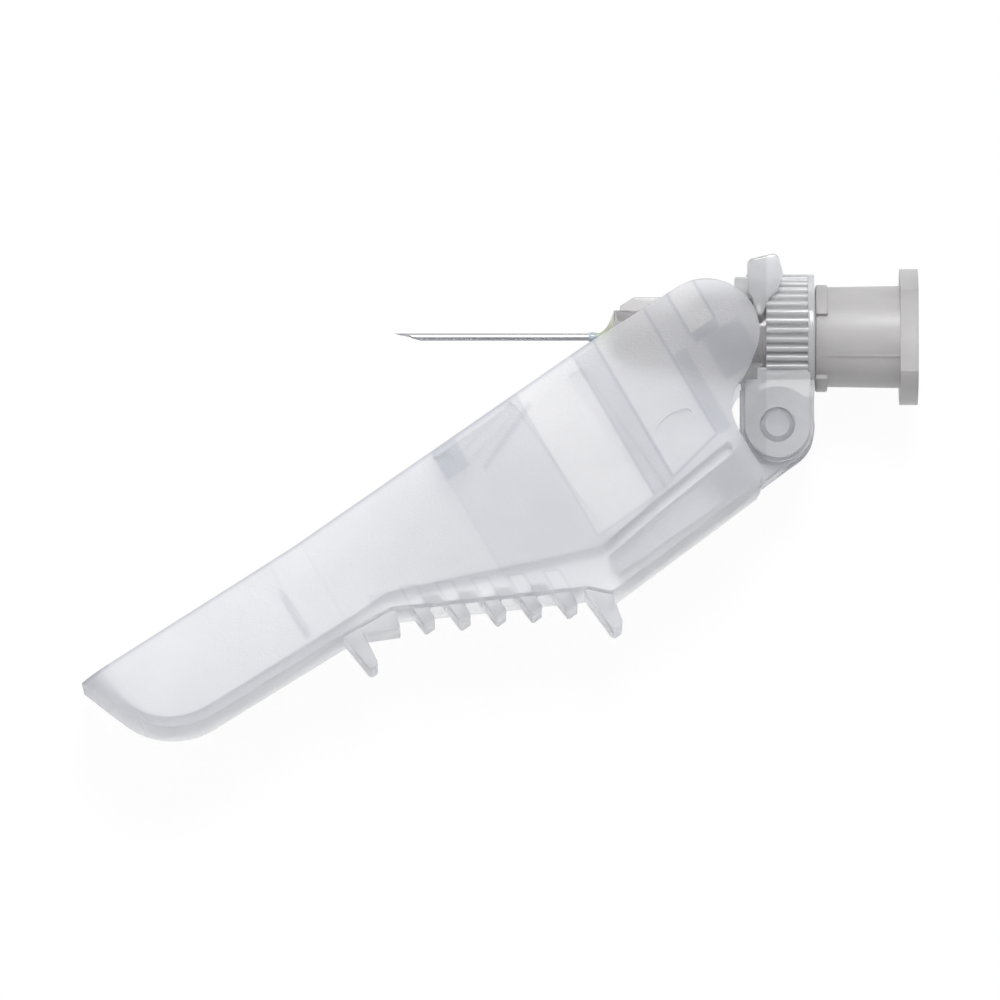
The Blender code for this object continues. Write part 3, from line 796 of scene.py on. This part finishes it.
def clear_finish(base):
    """Clear moulding, slightly milky, with painted shade in the grooves between the ridges and on the tongue
    and wings in front of the ring.
    """
    mat = new_material("clear_plastic", Transmission_Weight=0.6, IOR=1.5)
    flow = noise(mat, 900.0)
    colours = ramp(mat, flow, [(0.3, shade(base, 0.97)), (0.7, shade(base, 1.03))])
    axes = along_axes(mat)
    reach = distance(mat, axes[1], axes[2])
    # Painted shade: the base colour darkens in the grooves between the ridges, where shade falls
    groove = step(mat, axes[0], RING_START - RING_FADE, RING_START + RING_FADE)
    for start, end in (GROOVE_FLOOR, GROOVE_TOP):
        groove = maths(mat, "MULTIPLY", groove, step(mat, reach, RING_R - start, RING_R - end))
    # Painted shade: the tongue and wings in front of the ring are darkened where the key light falls brightly
    # on them
    front = step(mat, axes[0], RING_START + RING_FADE, RING_START - RING_FADE)
    toned = node(mat, "ShaderNodeVectorMath", operation="SCALE")
    link(mat, colours, toned.inputs[0])
    tone = maths(mat, "MULTIPLY_ADD", groove, -GROOVE_SHADE, 1.0)
    link(mat, maths(mat, "MULTIPLY_ADD", front, -WING_SHADE, tone), toned.inputs["Scale"])
    link(mat, toned.outputs[0], principled(mat)["Base Color"])
    spread(mat, flow, 0.08, 0.16, "Roughness")
    bump(mat, flow, 0.3, 0.00003)
    absorb(mat, (0.86, 0.88, 0.9), 60.0)
    return mat


def tooth_light_stripes():
    """Zones on the pad, a stripe of painted light over each tooth."""
    foot, half = pad_y(0.0), TOOTH_ROOT / 2
    zones = []
    for i in range(TOOTH_COUNT):
        x = TOOTH_X + i * TOOTH_PITCH
        x -= WALL_LEAN * (pad_y(x) + STRIPE_HEIGHT / 2)
        zones.append((x - half, x + half, foot, foot + STRIPE_HEIGHT, PAD_SLOPE, STRIPE_LIGHT, STRIPE_SHADE_LINE))
    return zones


def side_tone(mat, x, y):
    """Painted light and shade on the side walls: paler windows between darker ribs, with fine dark painted
    outlines, and a darker spine, partly standing for the walls' real thickness.
    """
    lean = maths(mat, "MULTIPLY_ADD", y, -WALL_LEAN, x)
    tone = maths(mat, "ADD", FRAME_SHADE_LEVEL, 0.0)
    for x0, x1, y0, y1, slope, change, line in (*SIDE_LIGHT_AND_SHADE_ZONES, *tooth_light_stripes()):
        height = maths(mat, "MULTIPLY_ADD", x, -slope, y)
        inside = maths(mat, "MULTIPLY", step(mat, lean, x0 - ZONE_SOFT, x0 + ZONE_SOFT),
                       step(mat, lean, x1 + ZONE_SOFT, x1 - ZONE_SOFT))
        for start, end in ((y0 - ZONE_SOFT, y0 + ZONE_SOFT), (y1 + ZONE_SOFT, y1 - ZONE_SOFT)):
            inside = maths(mat, "MULTIPLY", inside, step(mat, height, start, end))
        # Each zone's painted light (a paler change) or painted shade (a darker change), and a dark painted
        # outline along its edge
        edge = maths(mat, "MULTIPLY", inside, maths(mat, "SUBTRACT", 1.0, inside))
        tone = maths(mat, "MULTIPLY_ADD", inside, change, tone)
        tone = maths(mat, "MULTIPLY_ADD", edge, -SHADE_LINE_PEAK * line, tone)
    # Painted shade along the nose's spine, partly standing for its thicker plastic
    along = maths(mat, "SUBTRACT", x, NOSE_ARC[0] * MM)
    fall = maths(mat, "MULTIPLY_ADD", maths(mat, "MAXIMUM", along, 0.0), SPINE_FALL, y)
    drop = maths(mat, "MINIMUM", maths(mat, "SUBTRACT", fall, NOSE_ARC[1] * MM), 0.0)
    ahead = maths(mat, "MINIMUM", along, 0.0)
    reach = distance(mat, drop, ahead)
    inner = NOSE_ARC[2] - SPINE
    spine = maths(mat, "MULTIPLY", step(mat, reach, inner - ZONE_SOFT, inner + ZONE_SOFT),
                  step(mat, x, DISTAL[0] + 2 * SPINE, DISTAL[0]))
    return maths(mat, "MULTIPLY_ADD", spine, SPINE_SHADE, tone)


def frosted_finish(base, grain_size):
    """Frosted moulding: pale and cloudy, smoother outside than inside, darker where it is thick, and with
    painted light and shade in its colour.
    """
    mat = new_material("frosted_plastic", Transmission_Weight=0.8, IOR=1.4)
    axes = along_axes(mat, REST_ANGLE)
    cloud = noise(mat, 260.0, 4.0)
    grain = noise(mat, 1.0 / grain_size, 2.0)
    colours = ramp(mat, cloud, [(0.3, shade(base, 0.975)), (0.7, shade(base, 1.025))])
    toned = node(mat, "ShaderNodeVectorMath", operation="MULTIPLY")
    tone = side_tone(mat, axes[0], axes[1])
    link(mat, colours, toned.inputs[0])
    # The painted light and shade sets the colour, from the bluish painted shade tint up to white
    link(mat, ramp(mat, tone, [(DEEPEST_SHADE, SHADE_TINT), (1.0, WHITE)]), toned.inputs[1])
    link(mat, toned.outputs[0], principled(mat)["Base Color"])
    start, end = WALL_SKIN
    outside = step(mat, maths(mat, "ABSOLUTE", axes[2]), SHIELD_HALF - start, SHIELD_HALF - end)
    rough = maths(mat, "MULTIPLY_ADD", outside, OUTER_ROUGH - INNER_ROUGH, INNER_ROUGH)
    link(mat, maths(mat, "MULTIPLY_ADD", cloud, CLOUD_ROUGH, rough), principled(mat)["Roughness"])
    bump(mat, grain, 0.7, grain_size * GRAIN_DEPTH)
    absorb(mat, (0.83, 0.855, 0.9), 30.0)
    return mat


class NEEDLE_OT_cannula(Operator):
    """Build the steel cannula with its lancet point"""

    bl_idname = "safety_needle.cannula"
    bl_label = "Cannula"

    def point_cutter(self, radius, turn, back):
        """A block whose face cuts the point at the bevel angle, turned about the axis."""
        size = CUTTER_SIZE
        obj = plate("point_cutter", [box_outline(-size, size, -size, 0.0)], -size, size)
        tilt = Matrix.Rotation(math.radians(-BEVEL_ANGLE), 4, "Z")
        at = Matrix.Translation(((back - CANNULA_EXPOSED) * MM, 0.0, 0.0))
        lift = Matrix.Translation((0.0, radius * MM, 0.0))
        obj.data.transform(Matrix.Rotation(math.radians(turn), 4, "X") @ at @ lift @ tilt)
        return obj

    def execute(self, context):
        settings = context.scene.safety_needle.cannula
        radius = settings.radius / MM
        tube = turned("cannula_tube", [
            (-CANNULA_EXPOSED, CANNULA_BORE_R), (-CANNULA_EXPOSED, radius),
            (CANNULA_SEATED, radius), (CANNULA_SEATED, CANNULA_BORE_R),
        ], settings.steps)
        bevel_length = 2 * radius / math.tan(math.radians(BEVEL_ANGLE))
        cut(tube, self.point_cutter(radius, 0.0, 0.0))
        for side in (-1, 1):
            cut(tube, self.point_cutter(radius, side * LANCET_TURN, -bevel_length * LANCET_SHIFT))
        tube.location = NOSE
        place(tube, "cannula_tube", steel_finish(settings.steel), "hub")
        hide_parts("cannula")
        return {"FINISHED"}


class NEEDLE_OT_adhesive(Operator):
    """Build the cured adhesive cone and bead on the hub's nose"""

    bl_idname = "safety_needle.adhesive"
    bl_label = "Adhesive"

    def execute(self, context):
        settings = context.scene.safety_needle.cannula
        inner = settings.radius / MM + TUBE_GAP
        cone = []
        for i in range(CONE_STEPS + 1):
            t = i / CONE_STEPS
            x = -BEAD_END + (BEAD_END - BOND_GAP) * t
            cone.append((x, CONE_NECK_R + (CONE_R - CONE_NECK_R) * t**CONE_CURVE))
        bead = []
        for i in range(1, BEAD_STEPS):
            t = i / BEAD_STEPS
            x = -BEAD_START + (BEAD_START - BEAD_END) * t
            bead.append((x, CONE_NECK_R + (BEAD_R - CONE_NECK_R) * math.sin(math.pi * t)))
        plug_r = RECESS_R - BOND_GAP
        profile = [(-BEAD_START, inner), (-BEAD_START, CONE_NECK_R), *bead, *cone,
                   (-BOND_GAP, plug_r), (RECESS_DEPTH - BOND_GAP, plug_r), (RECESS_DEPTH - BOND_GAP, inner)]
        obj = turned("adhesive_cone", profile, settings.steps)
        obj.location = NOSE
        place(obj, "adhesive_cone", resin_finish(settings.resin, settings.bead), "hub", angle=50.0)
        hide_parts("adhesive")
        return {"FINISHED"}


class NEEDLE_OT_hub(Operator):
    """Build the hub with its fins, journal, Luer socket, lugs and flange"""

    bl_idname = "safety_needle.hub"
    bl_label = "Hub"

    def profile(self, edge, radius):
        """Half section of the turned body, with small radii on its moulded edges."""
        bore_r = radius + BOND_GAP
        socket_end = HUB_LENGTH - LUER_DEPTH
        socket_end_r = LUER_MOUTH_R - LUER_TAPER * LUER_DEPTH
        return rounded([
            (0.0, RECESS_R, 0), (0.0, NOSE_R, edge), (HEAD_START, NOSE_R, edge),
            (HEAD_START, HEAD_R - HEAD_CHAMFER, 0), (HEAD_START + HEAD_CHAMFER, HEAD_R, edge),
            (HEAD_END, HEAD_R, edge / 2), (HEAD_END, JOURNAL_R, 0), (JOURNAL_END, JOURNAL_R, 0),
            (JOURNAL_END, BARREL_R, edge), (HUB_LENGTH, BARREL_END_R, 0),
            (HUB_LENGTH, LUER_MOUTH_R + edge, 0), (HUB_LENGTH - edge, LUER_MOUTH_R, 0),
            (socket_end, socket_end_r, edge), (socket_end, CHAMBER_R, edge), (CHAMBER_END, CHAMBER_R, 0),
            (CHAMBER_END - CHAMBER_CONE, bore_r, 0), (RECESS_DEPTH, bore_r, 0), (RECESS_DEPTH, RECESS_R, 0),
        ], 3)

    def fin(self, turn, half, edge):
        """One of the nose's fins, with its outer edges rounded."""
        end = HEAD_START + FIN_OVERLAP
        outline = rounded([
            (FIN_START, FIN_INSIDE_R, 0), (FIN_START, FIN_ROOT_R, FIN_FOOT_EDGE),
            (FIN_START + FIN_CHAMFER, FIN_R, FIN_TOP_EDGE), (end, FIN_R, 0), (end, FIN_INSIDE_R, 0),
        ])
        blade = plate("fin", [outline], -half, half, edge)
        blade.data.transform(Matrix.Rotation(turn, 4, "X"))
        return blade

    def lug(self, middle, edge):
        """One of the short lugs that keep the collar on."""
        inner, half = BARREL_R - BARREL_BITE, LUG_SPAN / 2
        outline = (arc(0, 0, LUG_R, 90 - middle - half, 90 - middle + half, 20)
                   + arc(0, 0, inner, 90 - middle + half, 90 - middle - half, 12))
        outline = [(y, x) for x, y in outline]
        return across(plate("lug", [outline], JOURNAL_END, JOURNAL_END + LUG_WIDTH, edge))

    def parting_lines(self, half):
        """The mould's parting line along both sides of the barrel."""
        start, end = JOURNAL_END + LUG_WIDTH, HUB_LENGTH - FLANGE_THICKNESS / 2
        outline = [(start, BARREL_R - BARREL_BITE), (end, BARREL_R - BARREL_BITE),
                   (end, BARREL_END_R + PARTING_RISE), (start, BARREL_R + PARTING_RISE)]
        made = []
        for turn in (PARTING_TURN, PARTING_TURN + 180.0):
            line = plate("line", [outline], -half, half)
            line.data.transform(Matrix.Rotation(math.radians(turn), 4, "X"))
            made.append(line)
        return made

    def flange(self, steps):
        """The Luer flange with its two flats."""
        flats = math.degrees(math.asin(FLANGE_FLAT / FLANGE_R))
        rim = (arc(0, 0, FLANGE_R, -flats, flats, steps // 3)
               + arc(0, 0, FLANGE_R, 180 - flats, 180 + flats, steps // 3))
        mouth = circle(0, 0, LUER_MOUTH_R + FLANGE_MOUTH, steps)
        return across(plate("flange", [rim, mouth], HUB_LENGTH - FLANGE_THICKNESS, HUB_LENGTH))

    def execute(self, context):
        settings = context.scene.safety_needle.hub
        edge = settings.edge / MM
        half = settings.fin_thickness / MM / 2
        radius = context.scene.safety_needle.cannula.radius / MM
        hub = turned("hub_moulding", self.profile(edge, radius), settings.steps)
        for i in range(FIN_COUNT):
            join(hub, self.fin(math.tau * i / FIN_COUNT, half, edge))
        join(hub, self.flange(settings.steps))
        for i in range(LUG_COUNT):
            join(hub, self.lug(LUG_MIDDLE + 360.0 * i / LUG_COUNT, edge * LUG_EDGE))
        join(hub, *self.parting_lines(settings.parting_line / MM / 2))
        hub.location = NOSE
        place(hub, "hub_moulding", hub_finish(settings.plastic), "hub")
        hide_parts("hub")
        return {"FINISHED"}


class NEEDLE_OT_collar(Operator):
    """Build the clear collar with its ridges, ears, tongue and latch wings"""

    bl_idname = "safety_needle.collar"
    bl_label = "Collar"

    def ridged_outline(self, count, depth):
        """The ring's ridged outline."""
        out = []
        total = count * RIDGE_POINTS
        for i in range(total):
            wave = 0.5 + 0.5 * math.cos(math.tau * i / RIDGE_POINTS)
            out.append(point_on(0, 0, RING_R - RIM_RISE - depth * (1 - wave) ** 2, 360.0 * i / total))
        return out

    def ear_outline(self, radius, rise):
        """One layer of an ear: round about the pivot, stepped where it meets the ring."""
        x, y = PIVOT_X, -PIVOT_DROP
        notch = x - EAR_R + EAR_FRONT_STEP + rise
        return arc(x, y, radius, -180.0, 0.0, 40) + [
            (x + radius, rise - EAR_TOP), (notch, rise - EAR_TOP),
            (notch, -EAR_FRONT_TOP - rise), (x - radius, -EAR_FRONT_TOP - rise),
        ]

    def solids(self, settings):
        """The collar's outer form, before its bore and slots are cut."""
        edge = settings.edge / MM
        outline = self.ridged_outline(settings.ridges, settings.ridge_depth / MM)
        ring = across(plate("ring", [outline], RING_START, RING_END - RIM_WIDTH))
        rim = circle(0, 0, RING_R, settings.ridges * 4)
        join(ring, across(plate("rim", [rim], RING_END - RIM_WIDTH - RIM_OVERLAP, RING_END, edge)))
        back, front = self.ear_outline(EAR_BACK_R, EAR_BACK_RISE), self.ear_outline(EAR_R, 0.0)
        join(ring, *both_sides("ear", back, EAR_IN - edge, EAR_STEP, edge))
        join(ring, *both_sides("ear", front, EAR_STEP - EAR_OVERLAP, EAR_OUT, edge))
        start, end = PIVOT_X - EAR_R + EAR_FRONT_STEP, PIVOT_X + EAR_BACK_R
        block = box_outline(start + BLOCK_FRONT_INSET, end - BLOCK_BACK_INSET,
                            -BLOCK_BOTTOM, -EAR_FRONT_TOP + BLOCK_RISE)
        join(ring, plate("block", [block], -EAR_IN - BLOCK_OVERLAP, EAR_IN + BLOCK_OVERLAP, edge))
        half = TONGUE_HALF_ANGLE
        tongue = (arc(0, 0, TONGUE_R, 90 - half, 90 + half, 48)
                  + arc(0, 0, TONGUE_IN_R, 90 + half, 90 - half, 48))
        tongue = [(x, y) for y, x in tongue]
        join(ring, across(plate("tongue", [tongue], TONGUE_START, RING_START + TONGUE_OVERLAP, edge)))
        wing = rounded([(WING_FRONT + x, y, radius) for x, y, radius in WING])
        return join(ring, *both_sides("wing", wing, WING_IN, WING_OUT, edge * WING_EDGE))

    def execute(self, context):
        settings = context.scene.safety_needle.collar
        collar = self.solids(settings)
        steps = context.scene.safety_needle.hub.steps
        bore_r = JOURNAL_R + COLLAR_GAP
        bore = across(plate("bore", [circle(0, 0, bore_r, steps)], 0.0, JOURNAL_END + 2 * CUT_PAST))
        mouth = across(plate("mouth", [circle(0, 0, MOUTH_R, steps)], 0.0, RING_START))
        cut(collar, bore, mouth)
        slot = circle(PIVOT_X, -PIVOT_DROP, ARM_R + ARM_GAP, 96)
        cut(collar, *both_sides("slot", slot, ARM_IN - ARM_GAP, EAR_IN))
        hole = circle(PIVOT_X, -PIVOT_DROP, HOLE_R, 96)
        cut(collar, plate("hole", [hole], -EAR_OUT - CUT_PAST, EAR_OUT + CUT_PAST))
        collar.location = NOSE
        place(collar, "collar_moulding", clear_finish(settings.plastic), "collar")
        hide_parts("collar")
        return {"FINISHED"}


class NEEDLE_OT_shield(Operator):
    """Build the frosted shield with its grip, hinge arms and needle lock"""

    bl_idname = "safety_needle.shield"
    bl_label = "Shield"

    def side_outline(self):
        """From the tip along the underside, round the dome and back along the open edge."""
        nose = arc(*NOSE_ARC, *NOSE_ARC_SPAN, 40)
        under = rounded([(*DISTAL, 0), (*PAD, PAD_EDGE), (*HEEL, HEEL_EDGE),
                         (*BACK, HEEL_EDGE), (*BACK_END, 0)])
        corner = rounded(BACK_CORNER)
        dome = arc(*DOME, *DOME_SPAN, 64)
        throat = spline([dome[0], *THROAT], 10)
        return ([TIP, *nose] + under + corner[1:-1] + throat[:0:-1]
                + dome + [(DOME_FOOT_X, OPEN_EDGE), (KNEE_X, OPEN_EDGE)])

    def plan(self, inset):
        """The outline from above, with the closed tip's round corners, as a tall solid."""
        half, radius, x = SHIELD_HALF - inset, NOSE_PLAN_R - inset, TIP[0] - PLAN_AHEAD + inset
        outline = rounded([(x, -half, radius), (PLAN_END_X, -half, 0), (PLAN_END_X, half, 0),
                           (x, half, radius)], 14)
        return laid(plate("plan", [outline], -PLAN_REACH, PLAN_REACH))

    def soften(self, obj, edge):
        """Round the outer edges: wide along the underside and nose, narrow along the open edge."""
        bm = bmesh.new()
        bm.from_mesh(obj.data)
        weights = bm.edges.layers.float.new("bevel_weight_edge")
        half = SHIELD_HALF * MM
        for item in bm.edges:
            a, b = (v.co for v in item.verts)
            if abs(abs(a.z) - half) > MERGE or abs(a.z - b.z) > MERGE:
                continue
            middle = (a + b) / 2 / MM
            below = middle.y < DISTAL[1] + UNDER_REACH and middle.x < BACK_END[0] + UNDER_PAST
            nose = middle.x < NOSE_ARC[0] and middle.y < TIP[1] - TIP_REACH
            item[weights] = 1.0 if below or nose else edge / CORNER_R
        bm.to_mesh(obj.data)
        bm.free()
        bevel = obj.modifiers.new("soften", "BEVEL")
        bevel.limit_method = "WEIGHT"
        bevel.width = CORNER_R * MM
        bevel.segments = 5
        return bake(obj)

    def channel_outline(self):
        """The cut that leaves the walls and floor."""
        x, y, radius = NOSE_ARC
        nose = arc(x, y, radius - SPINE, *NOSE_ARC_SPAN, 40)
        return [(TIP[0] + TIP_WALL, CUT_TOP_Y), *nose, (DISTAL[0] + FLOOR_LEAD, DISTAL[1] + SPINE), *FLOOR,
                (CUT_END_X, FLOOR[-1][1]), (CUT_END_X, CUT_TOP_Y)]

    def tunnel_outline(self):
        """The hollow between the floor and the back plate, open at the hinge end."""
        below = [(x, y - FLOOR_THICKNESS) for x, y in FLOOR[1:]]
        back = BACK[1] + BACK_PLATE
        return [*below, (FLOOR[-1][0], TUNNEL_TOP), (CUT_END_X, TUNNEL_TOP), (CUT_END_X, back),
                (TUNNEL_X, back)]

    def arms(self, edge):
        """The two hinge arms, let into the back plate and the floor."""
        outline = arc(0, 0, ARM_R, *ARM_SPAN, 60) + ARM_ROOT
        return both_sides("arm", outline, ARM_IN, EAR_IN - ARM_GAP, edge)

    def pins(self):
        """The two trunnions, with a bevelled end."""
        radius = HOLE_R - PIN_GAP
        start, end = EAR_IN - ARM_GAP - PIN_ROOT, EAR_OUT - PIN_RECESS
        made = []
        for side in (-1, 1):
            pin = turned("pin", rounded([
                (start, 0.0, 0), (start, radius, 0), (end - PIN_CHAMFER, radius, PIN_EDGE),
                (end, PIN_END_R, PIN_EDGE), (end, 0.0, 0),
            ], 3), 96, "Z")
            if side < 0:
                pin.data.transform(Matrix.Rotation(math.pi, 4, "X"))
            made.append(pin)
        return made

    def grip(self, edge):
        """The grip: a wedge, a row of teeth and a taller fin at each end."""
        outlines = [rounded(fin) for fin in GRIP_FINS]
        root, end = TOOTH_ROOT / 2, TOOTH_TIP / 2
        for i in range(TOOTH_COUNT):
            x = TOOTH_X + i * TOOTH_PITCH
            top, tip = pad_y(x) + TOOTH_BITE, pad_y(x) - TOOTH_LENGTH
            outlines.append(rounded([(x - root, top, 0), (x - end, tip, TOOTH_EDGE),
                                     (x + end, tip, TOOTH_EDGE), (x + root, top, 0)]))
        teeth = [plate("tooth", [outline], -TOOTH_HALF, TOOTH_HALF, edge) for outline in outlines]
        return [plate("wedge", [rounded(WEDGE)], -WEDGE_HALF, WEDGE_HALF, edge), *teeth]

    def grooves(self):
        """Grooves between the teeth, closed at the sides by the pad's rails."""
        margin = TOOTH_ROOT / 2 + GROOVE_MARGIN
        made = []
        for i in range(TOOTH_COUNT - 1):
            left = TOOTH_X + i * TOOTH_PITCH + margin
            right = TOOTH_X + (i + 1) * TOOTH_PITCH - margin
            outline = [(left, pad_y(left) - GROOVE_START), (right, pad_y(right) - GROOVE_START),
                       (right, pad_y(right) + GROOVE_DEPTH), (left, pad_y(left) + GROOVE_DEPTH)]
            made.append(plate("groove", [outline], -GROOVE_HALF, GROOVE_HALF))
        return made

    def inner_walls(self, edge):
        """Raised panels, ribs and catches on the inner faces of the side walls."""
        made = []
        for outline, depth in (
            (PANEL, PANEL_DEPTH),
            (box_outline(*REAR_RIB), RIB_DEPTH),
            (box_outline(*CATCH), CATCH_DEPTH),
            (box_outline(*FRONT_RIB), RIB_DEPTH),
        ):
            made += both_sides("panel", outline, CHANNEL_HALF - depth, WALL_ROOT, edge)
        return made

    def lock(self, edge):
        """The slanted hook that the cannula snaps past."""
        return plate("hook", [rounded(HOOK)], LOCK_GAP, WALL_ROOT, edge)

    def mark(self):
        """The shallow moulded oval on the upper wall."""
        oval = [(x * MARK_HALF[0] + MARK_MIDDLE[0], y * MARK_HALF[1] + MARK_MIDDLE[1])
                for x, y in circle(0, 0, 1.0, 48)]
        return plate("mark", [oval], SHIELD_HALF - MARK_DEPTH, SHIELD_HALF + MARK_PAST)

    def execute(self, context):
        settings = context.scene.safety_needle.shield
        fine = settings.detail_edge / MM
        shell = plate("shell", [self.side_outline()], -SHIELD_HALF, SHIELD_HALF)
        self.soften(shell, settings.edge / MM)
        combine(shell, self.plan(0.0), "INTERSECT")
        channel = plate("channel", [self.channel_outline()], -CHANNEL_HALF, CHANNEL_HALF)
        combine(channel, self.plan(SHIELD_HALF - CHANNEL_HALF), "INTERSECT")
        tunnel = plate("tunnel", [self.tunnel_outline()], -CHANNEL_HALF, CHANNEL_HALF)
        cut(shell, channel, tunnel)
        join(shell, *self.arms(fine), *self.pins(), *self.grip(fine))
        cut(shell, *self.grooves())
        join(shell, *self.inner_walls(fine / 2), self.lock(fine))
        cut(shell, *both_sides("pocket", box_outline(*POCKET),
                               CHANNEL_HALF - POCKET_START, CHANNEL_HALF + POCKET_DEPTH))
        cut(shell, self.mark())
        shell.data.transform(Matrix.Rotation(REST_ANGLE, 4, "Z"))
        shell.location = PIVOT
        place(shell, "shield_moulding", frosted_finish(settings.plastic, settings.grain), "shield")
        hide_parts("shield")
        return {"FINISHED"}


class NEEDLE_OT_stage(Operator):
    """Set up the floor, the soft light, the white background and the camera"""

    bl_idname = "safety_needle.stage"
    bl_label = "Stage"

    def floor(self, settings):
        """A pale floor that shows white where it is fully lit, and keeps soft shadows."""
        mesh = bpy.data.meshes.new("floor")
        bm = bmesh.new()
        bmesh.ops.create_grid(bm, x_segments=1, y_segments=1, size=settings.floor_size / 2)
        bm.to_mesh(mesh)
        bm.free()
        obj = add_object("floor", mesh)
        mat = new_material("pale_floor", Roughness=0.9, Specular_IOR_Level=0.0)
        nodes = mat.node_tree.nodes
        seen = self.seen(mat)
        paint = mixed(mat, seen, settings.floor, shade(settings.floor, SHADOW_SHARE))
        link(mat, paint, principled(mat)["Base Color"])
        glow = node(mat, "ShaderNodeEmission", Color=(*WHITE, 1.0))
        link(mat, maths(mat, "MULTIPLY", seen, FLOOR_GLOW), glow.inputs["Strength"])
        both = node(mat, "ShaderNodeAddShader")
        link(mat, nodes["Principled BSDF"].outputs["BSDF"], both.inputs[0])
        link(mat, glow.outputs["Emission"], both.inputs[1])
        link(mat, both.outputs["Shader"], nodes["Material Output"].inputs["Surface"])
        mesh.materials.append(mat)

    def seen(self, owner):
        """1 for camera, glossy and transmission rays, in a material or world."""
        path = node(owner, "ShaderNodeLightPath").outputs
        direct = maths(owner, "MAXIMUM", path["Is Camera Ray"], path["Is Glossy Ray"])
        return maths(owner, "MAXIMUM", direct, path["Is Transmission Ray"])

    def sky(self, world, high, low):
        """Even strength that falls off over the studio's unlit side, above the horizon towards -Y."""
        place_at = node(world, "ShaderNodeTexCoord")
        axes = node(world, "ShaderNodeSeparateXYZ")
        link(world, place_at.outputs["Generated"], axes.inputs[0])
        falls = [smooth(world, axes.outputs[axis], start, end) for axis, start, end in SKY_FALL]
        return between(world, maths(world, "MULTIPLY", *falls), high, low)

    def background(self, context, settings):
        """White where it is seen, and an even soft light for everything else."""
        world = bpy.data.worlds.new("studio")
        context.scene.world = world
        world.use_nodes = True
        nodes = world.node_tree.nodes
        light = nodes["Background"]
        light.inputs["Color"].default_value = (*WHITE, 1.0)
        white = node(world, "ShaderNodeBackground", Color=(*WHITE, 1.0))
        link(world, self.sky(world, settings.fill, settings.fill * LOW_SIDE), light.inputs["Strength"])
        link(world, self.sky(world, 1.0, LOW_SIDE), white.inputs["Strength"])
        mix = node(world, "ShaderNodeMixShader")
        link(world, self.seen(world), mix.inputs["Fac"])
        link(world, light.outputs["Background"], mix.inputs[1])
        link(world, white.outputs["Background"], mix.inputs[2])
        link(world, mix.outputs["Shader"], nodes["World Output"].inputs["Surface"])

    def lamp(self, name, location, size, power):
        """A square soft light that faces the part."""
        data = bpy.data.lights.new(name, "AREA")
        data.size = size
        data.energy = power
        obj = add_object(name, data)
        obj.location = location
        obj.rotation_euler = (-Vector(location)).to_track_quat("-Z", "Y").to_euler()

    def camera(self, context):
        """The photograph's camera: almost square on to the part, from a little below its middle."""
        data = bpy.data.cameras.new("camera")
        data.sensor_width = SENSOR
        data.lens = SENSOR * CAMERA_DISTANCE / FRAME_WIDTH
        obj = add_object("camera", data)
        away = Vector((0.0, -math.sin(CAMERA_PITCH), math.cos(CAMERA_PITCH)))
        obj.location = NOSE + CAMERA_TARGET + away * CAMERA_DISTANCE
        obj.rotation_euler = (CAMERA_PITCH, 0.0, 0.0)
        context.scene.camera = obj

    def execute(self, context):
        settings = context.scene.safety_needle.stage
        context.scene.view_settings.view_transform = "Standard"
        self.floor(settings)
        self.background(context, settings)
        self.lamp("key", KEY_PLACE, settings.key_size, settings.key_power)
        self.camera(context)
        return {"FINISHED"}


class NEEDLE_PT_panel(Panel):
    """Sidebar panel with a button for each piece"""

    bl_idname = "NEEDLE_PT_panel"
    bl_label = "Safety Needle"
    bl_space_type = "VIEW_3D"
    bl_region_type = "UI"
    bl_category = "Safety Needle"

    def draw(self, context):
        for operator in OPERATORS:
            self.layout.operator(operator.bl_idname)


OPERATORS = (
    NEEDLE_OT_cannula,
    NEEDLE_OT_adhesive,
    NEEDLE_OT_hub,
    NEEDLE_OT_collar,
    NEEDLE_OT_shield,
    NEEDLE_OT_stage,
)
CLASSES = (
    CannulaSettings,
    HubSettings,
    CollarSettings,
    ShieldSettings,
    StageSettings,
    NeedleSettings,
    *OPERATORS,
    NEEDLE_PT_panel,
)


def register():
    for cls in CLASSES:
        bpy.utils.register_class(cls)
    bpy.types.Scene.safety_needle = PointerProperty(type=NeedleSettings)


def unregister():
    del bpy.types.Scene.safety_needle
    for cls in reversed(CLASSES):
        bpy.utils.unregister_class(cls)


def main():
    register()
    for operator in OPERATORS:
        group, name = operator.bl_idname.split(".")
        getattr(getattr(bpy.ops, group), name)()


if __name__ == "__main__":
    main()
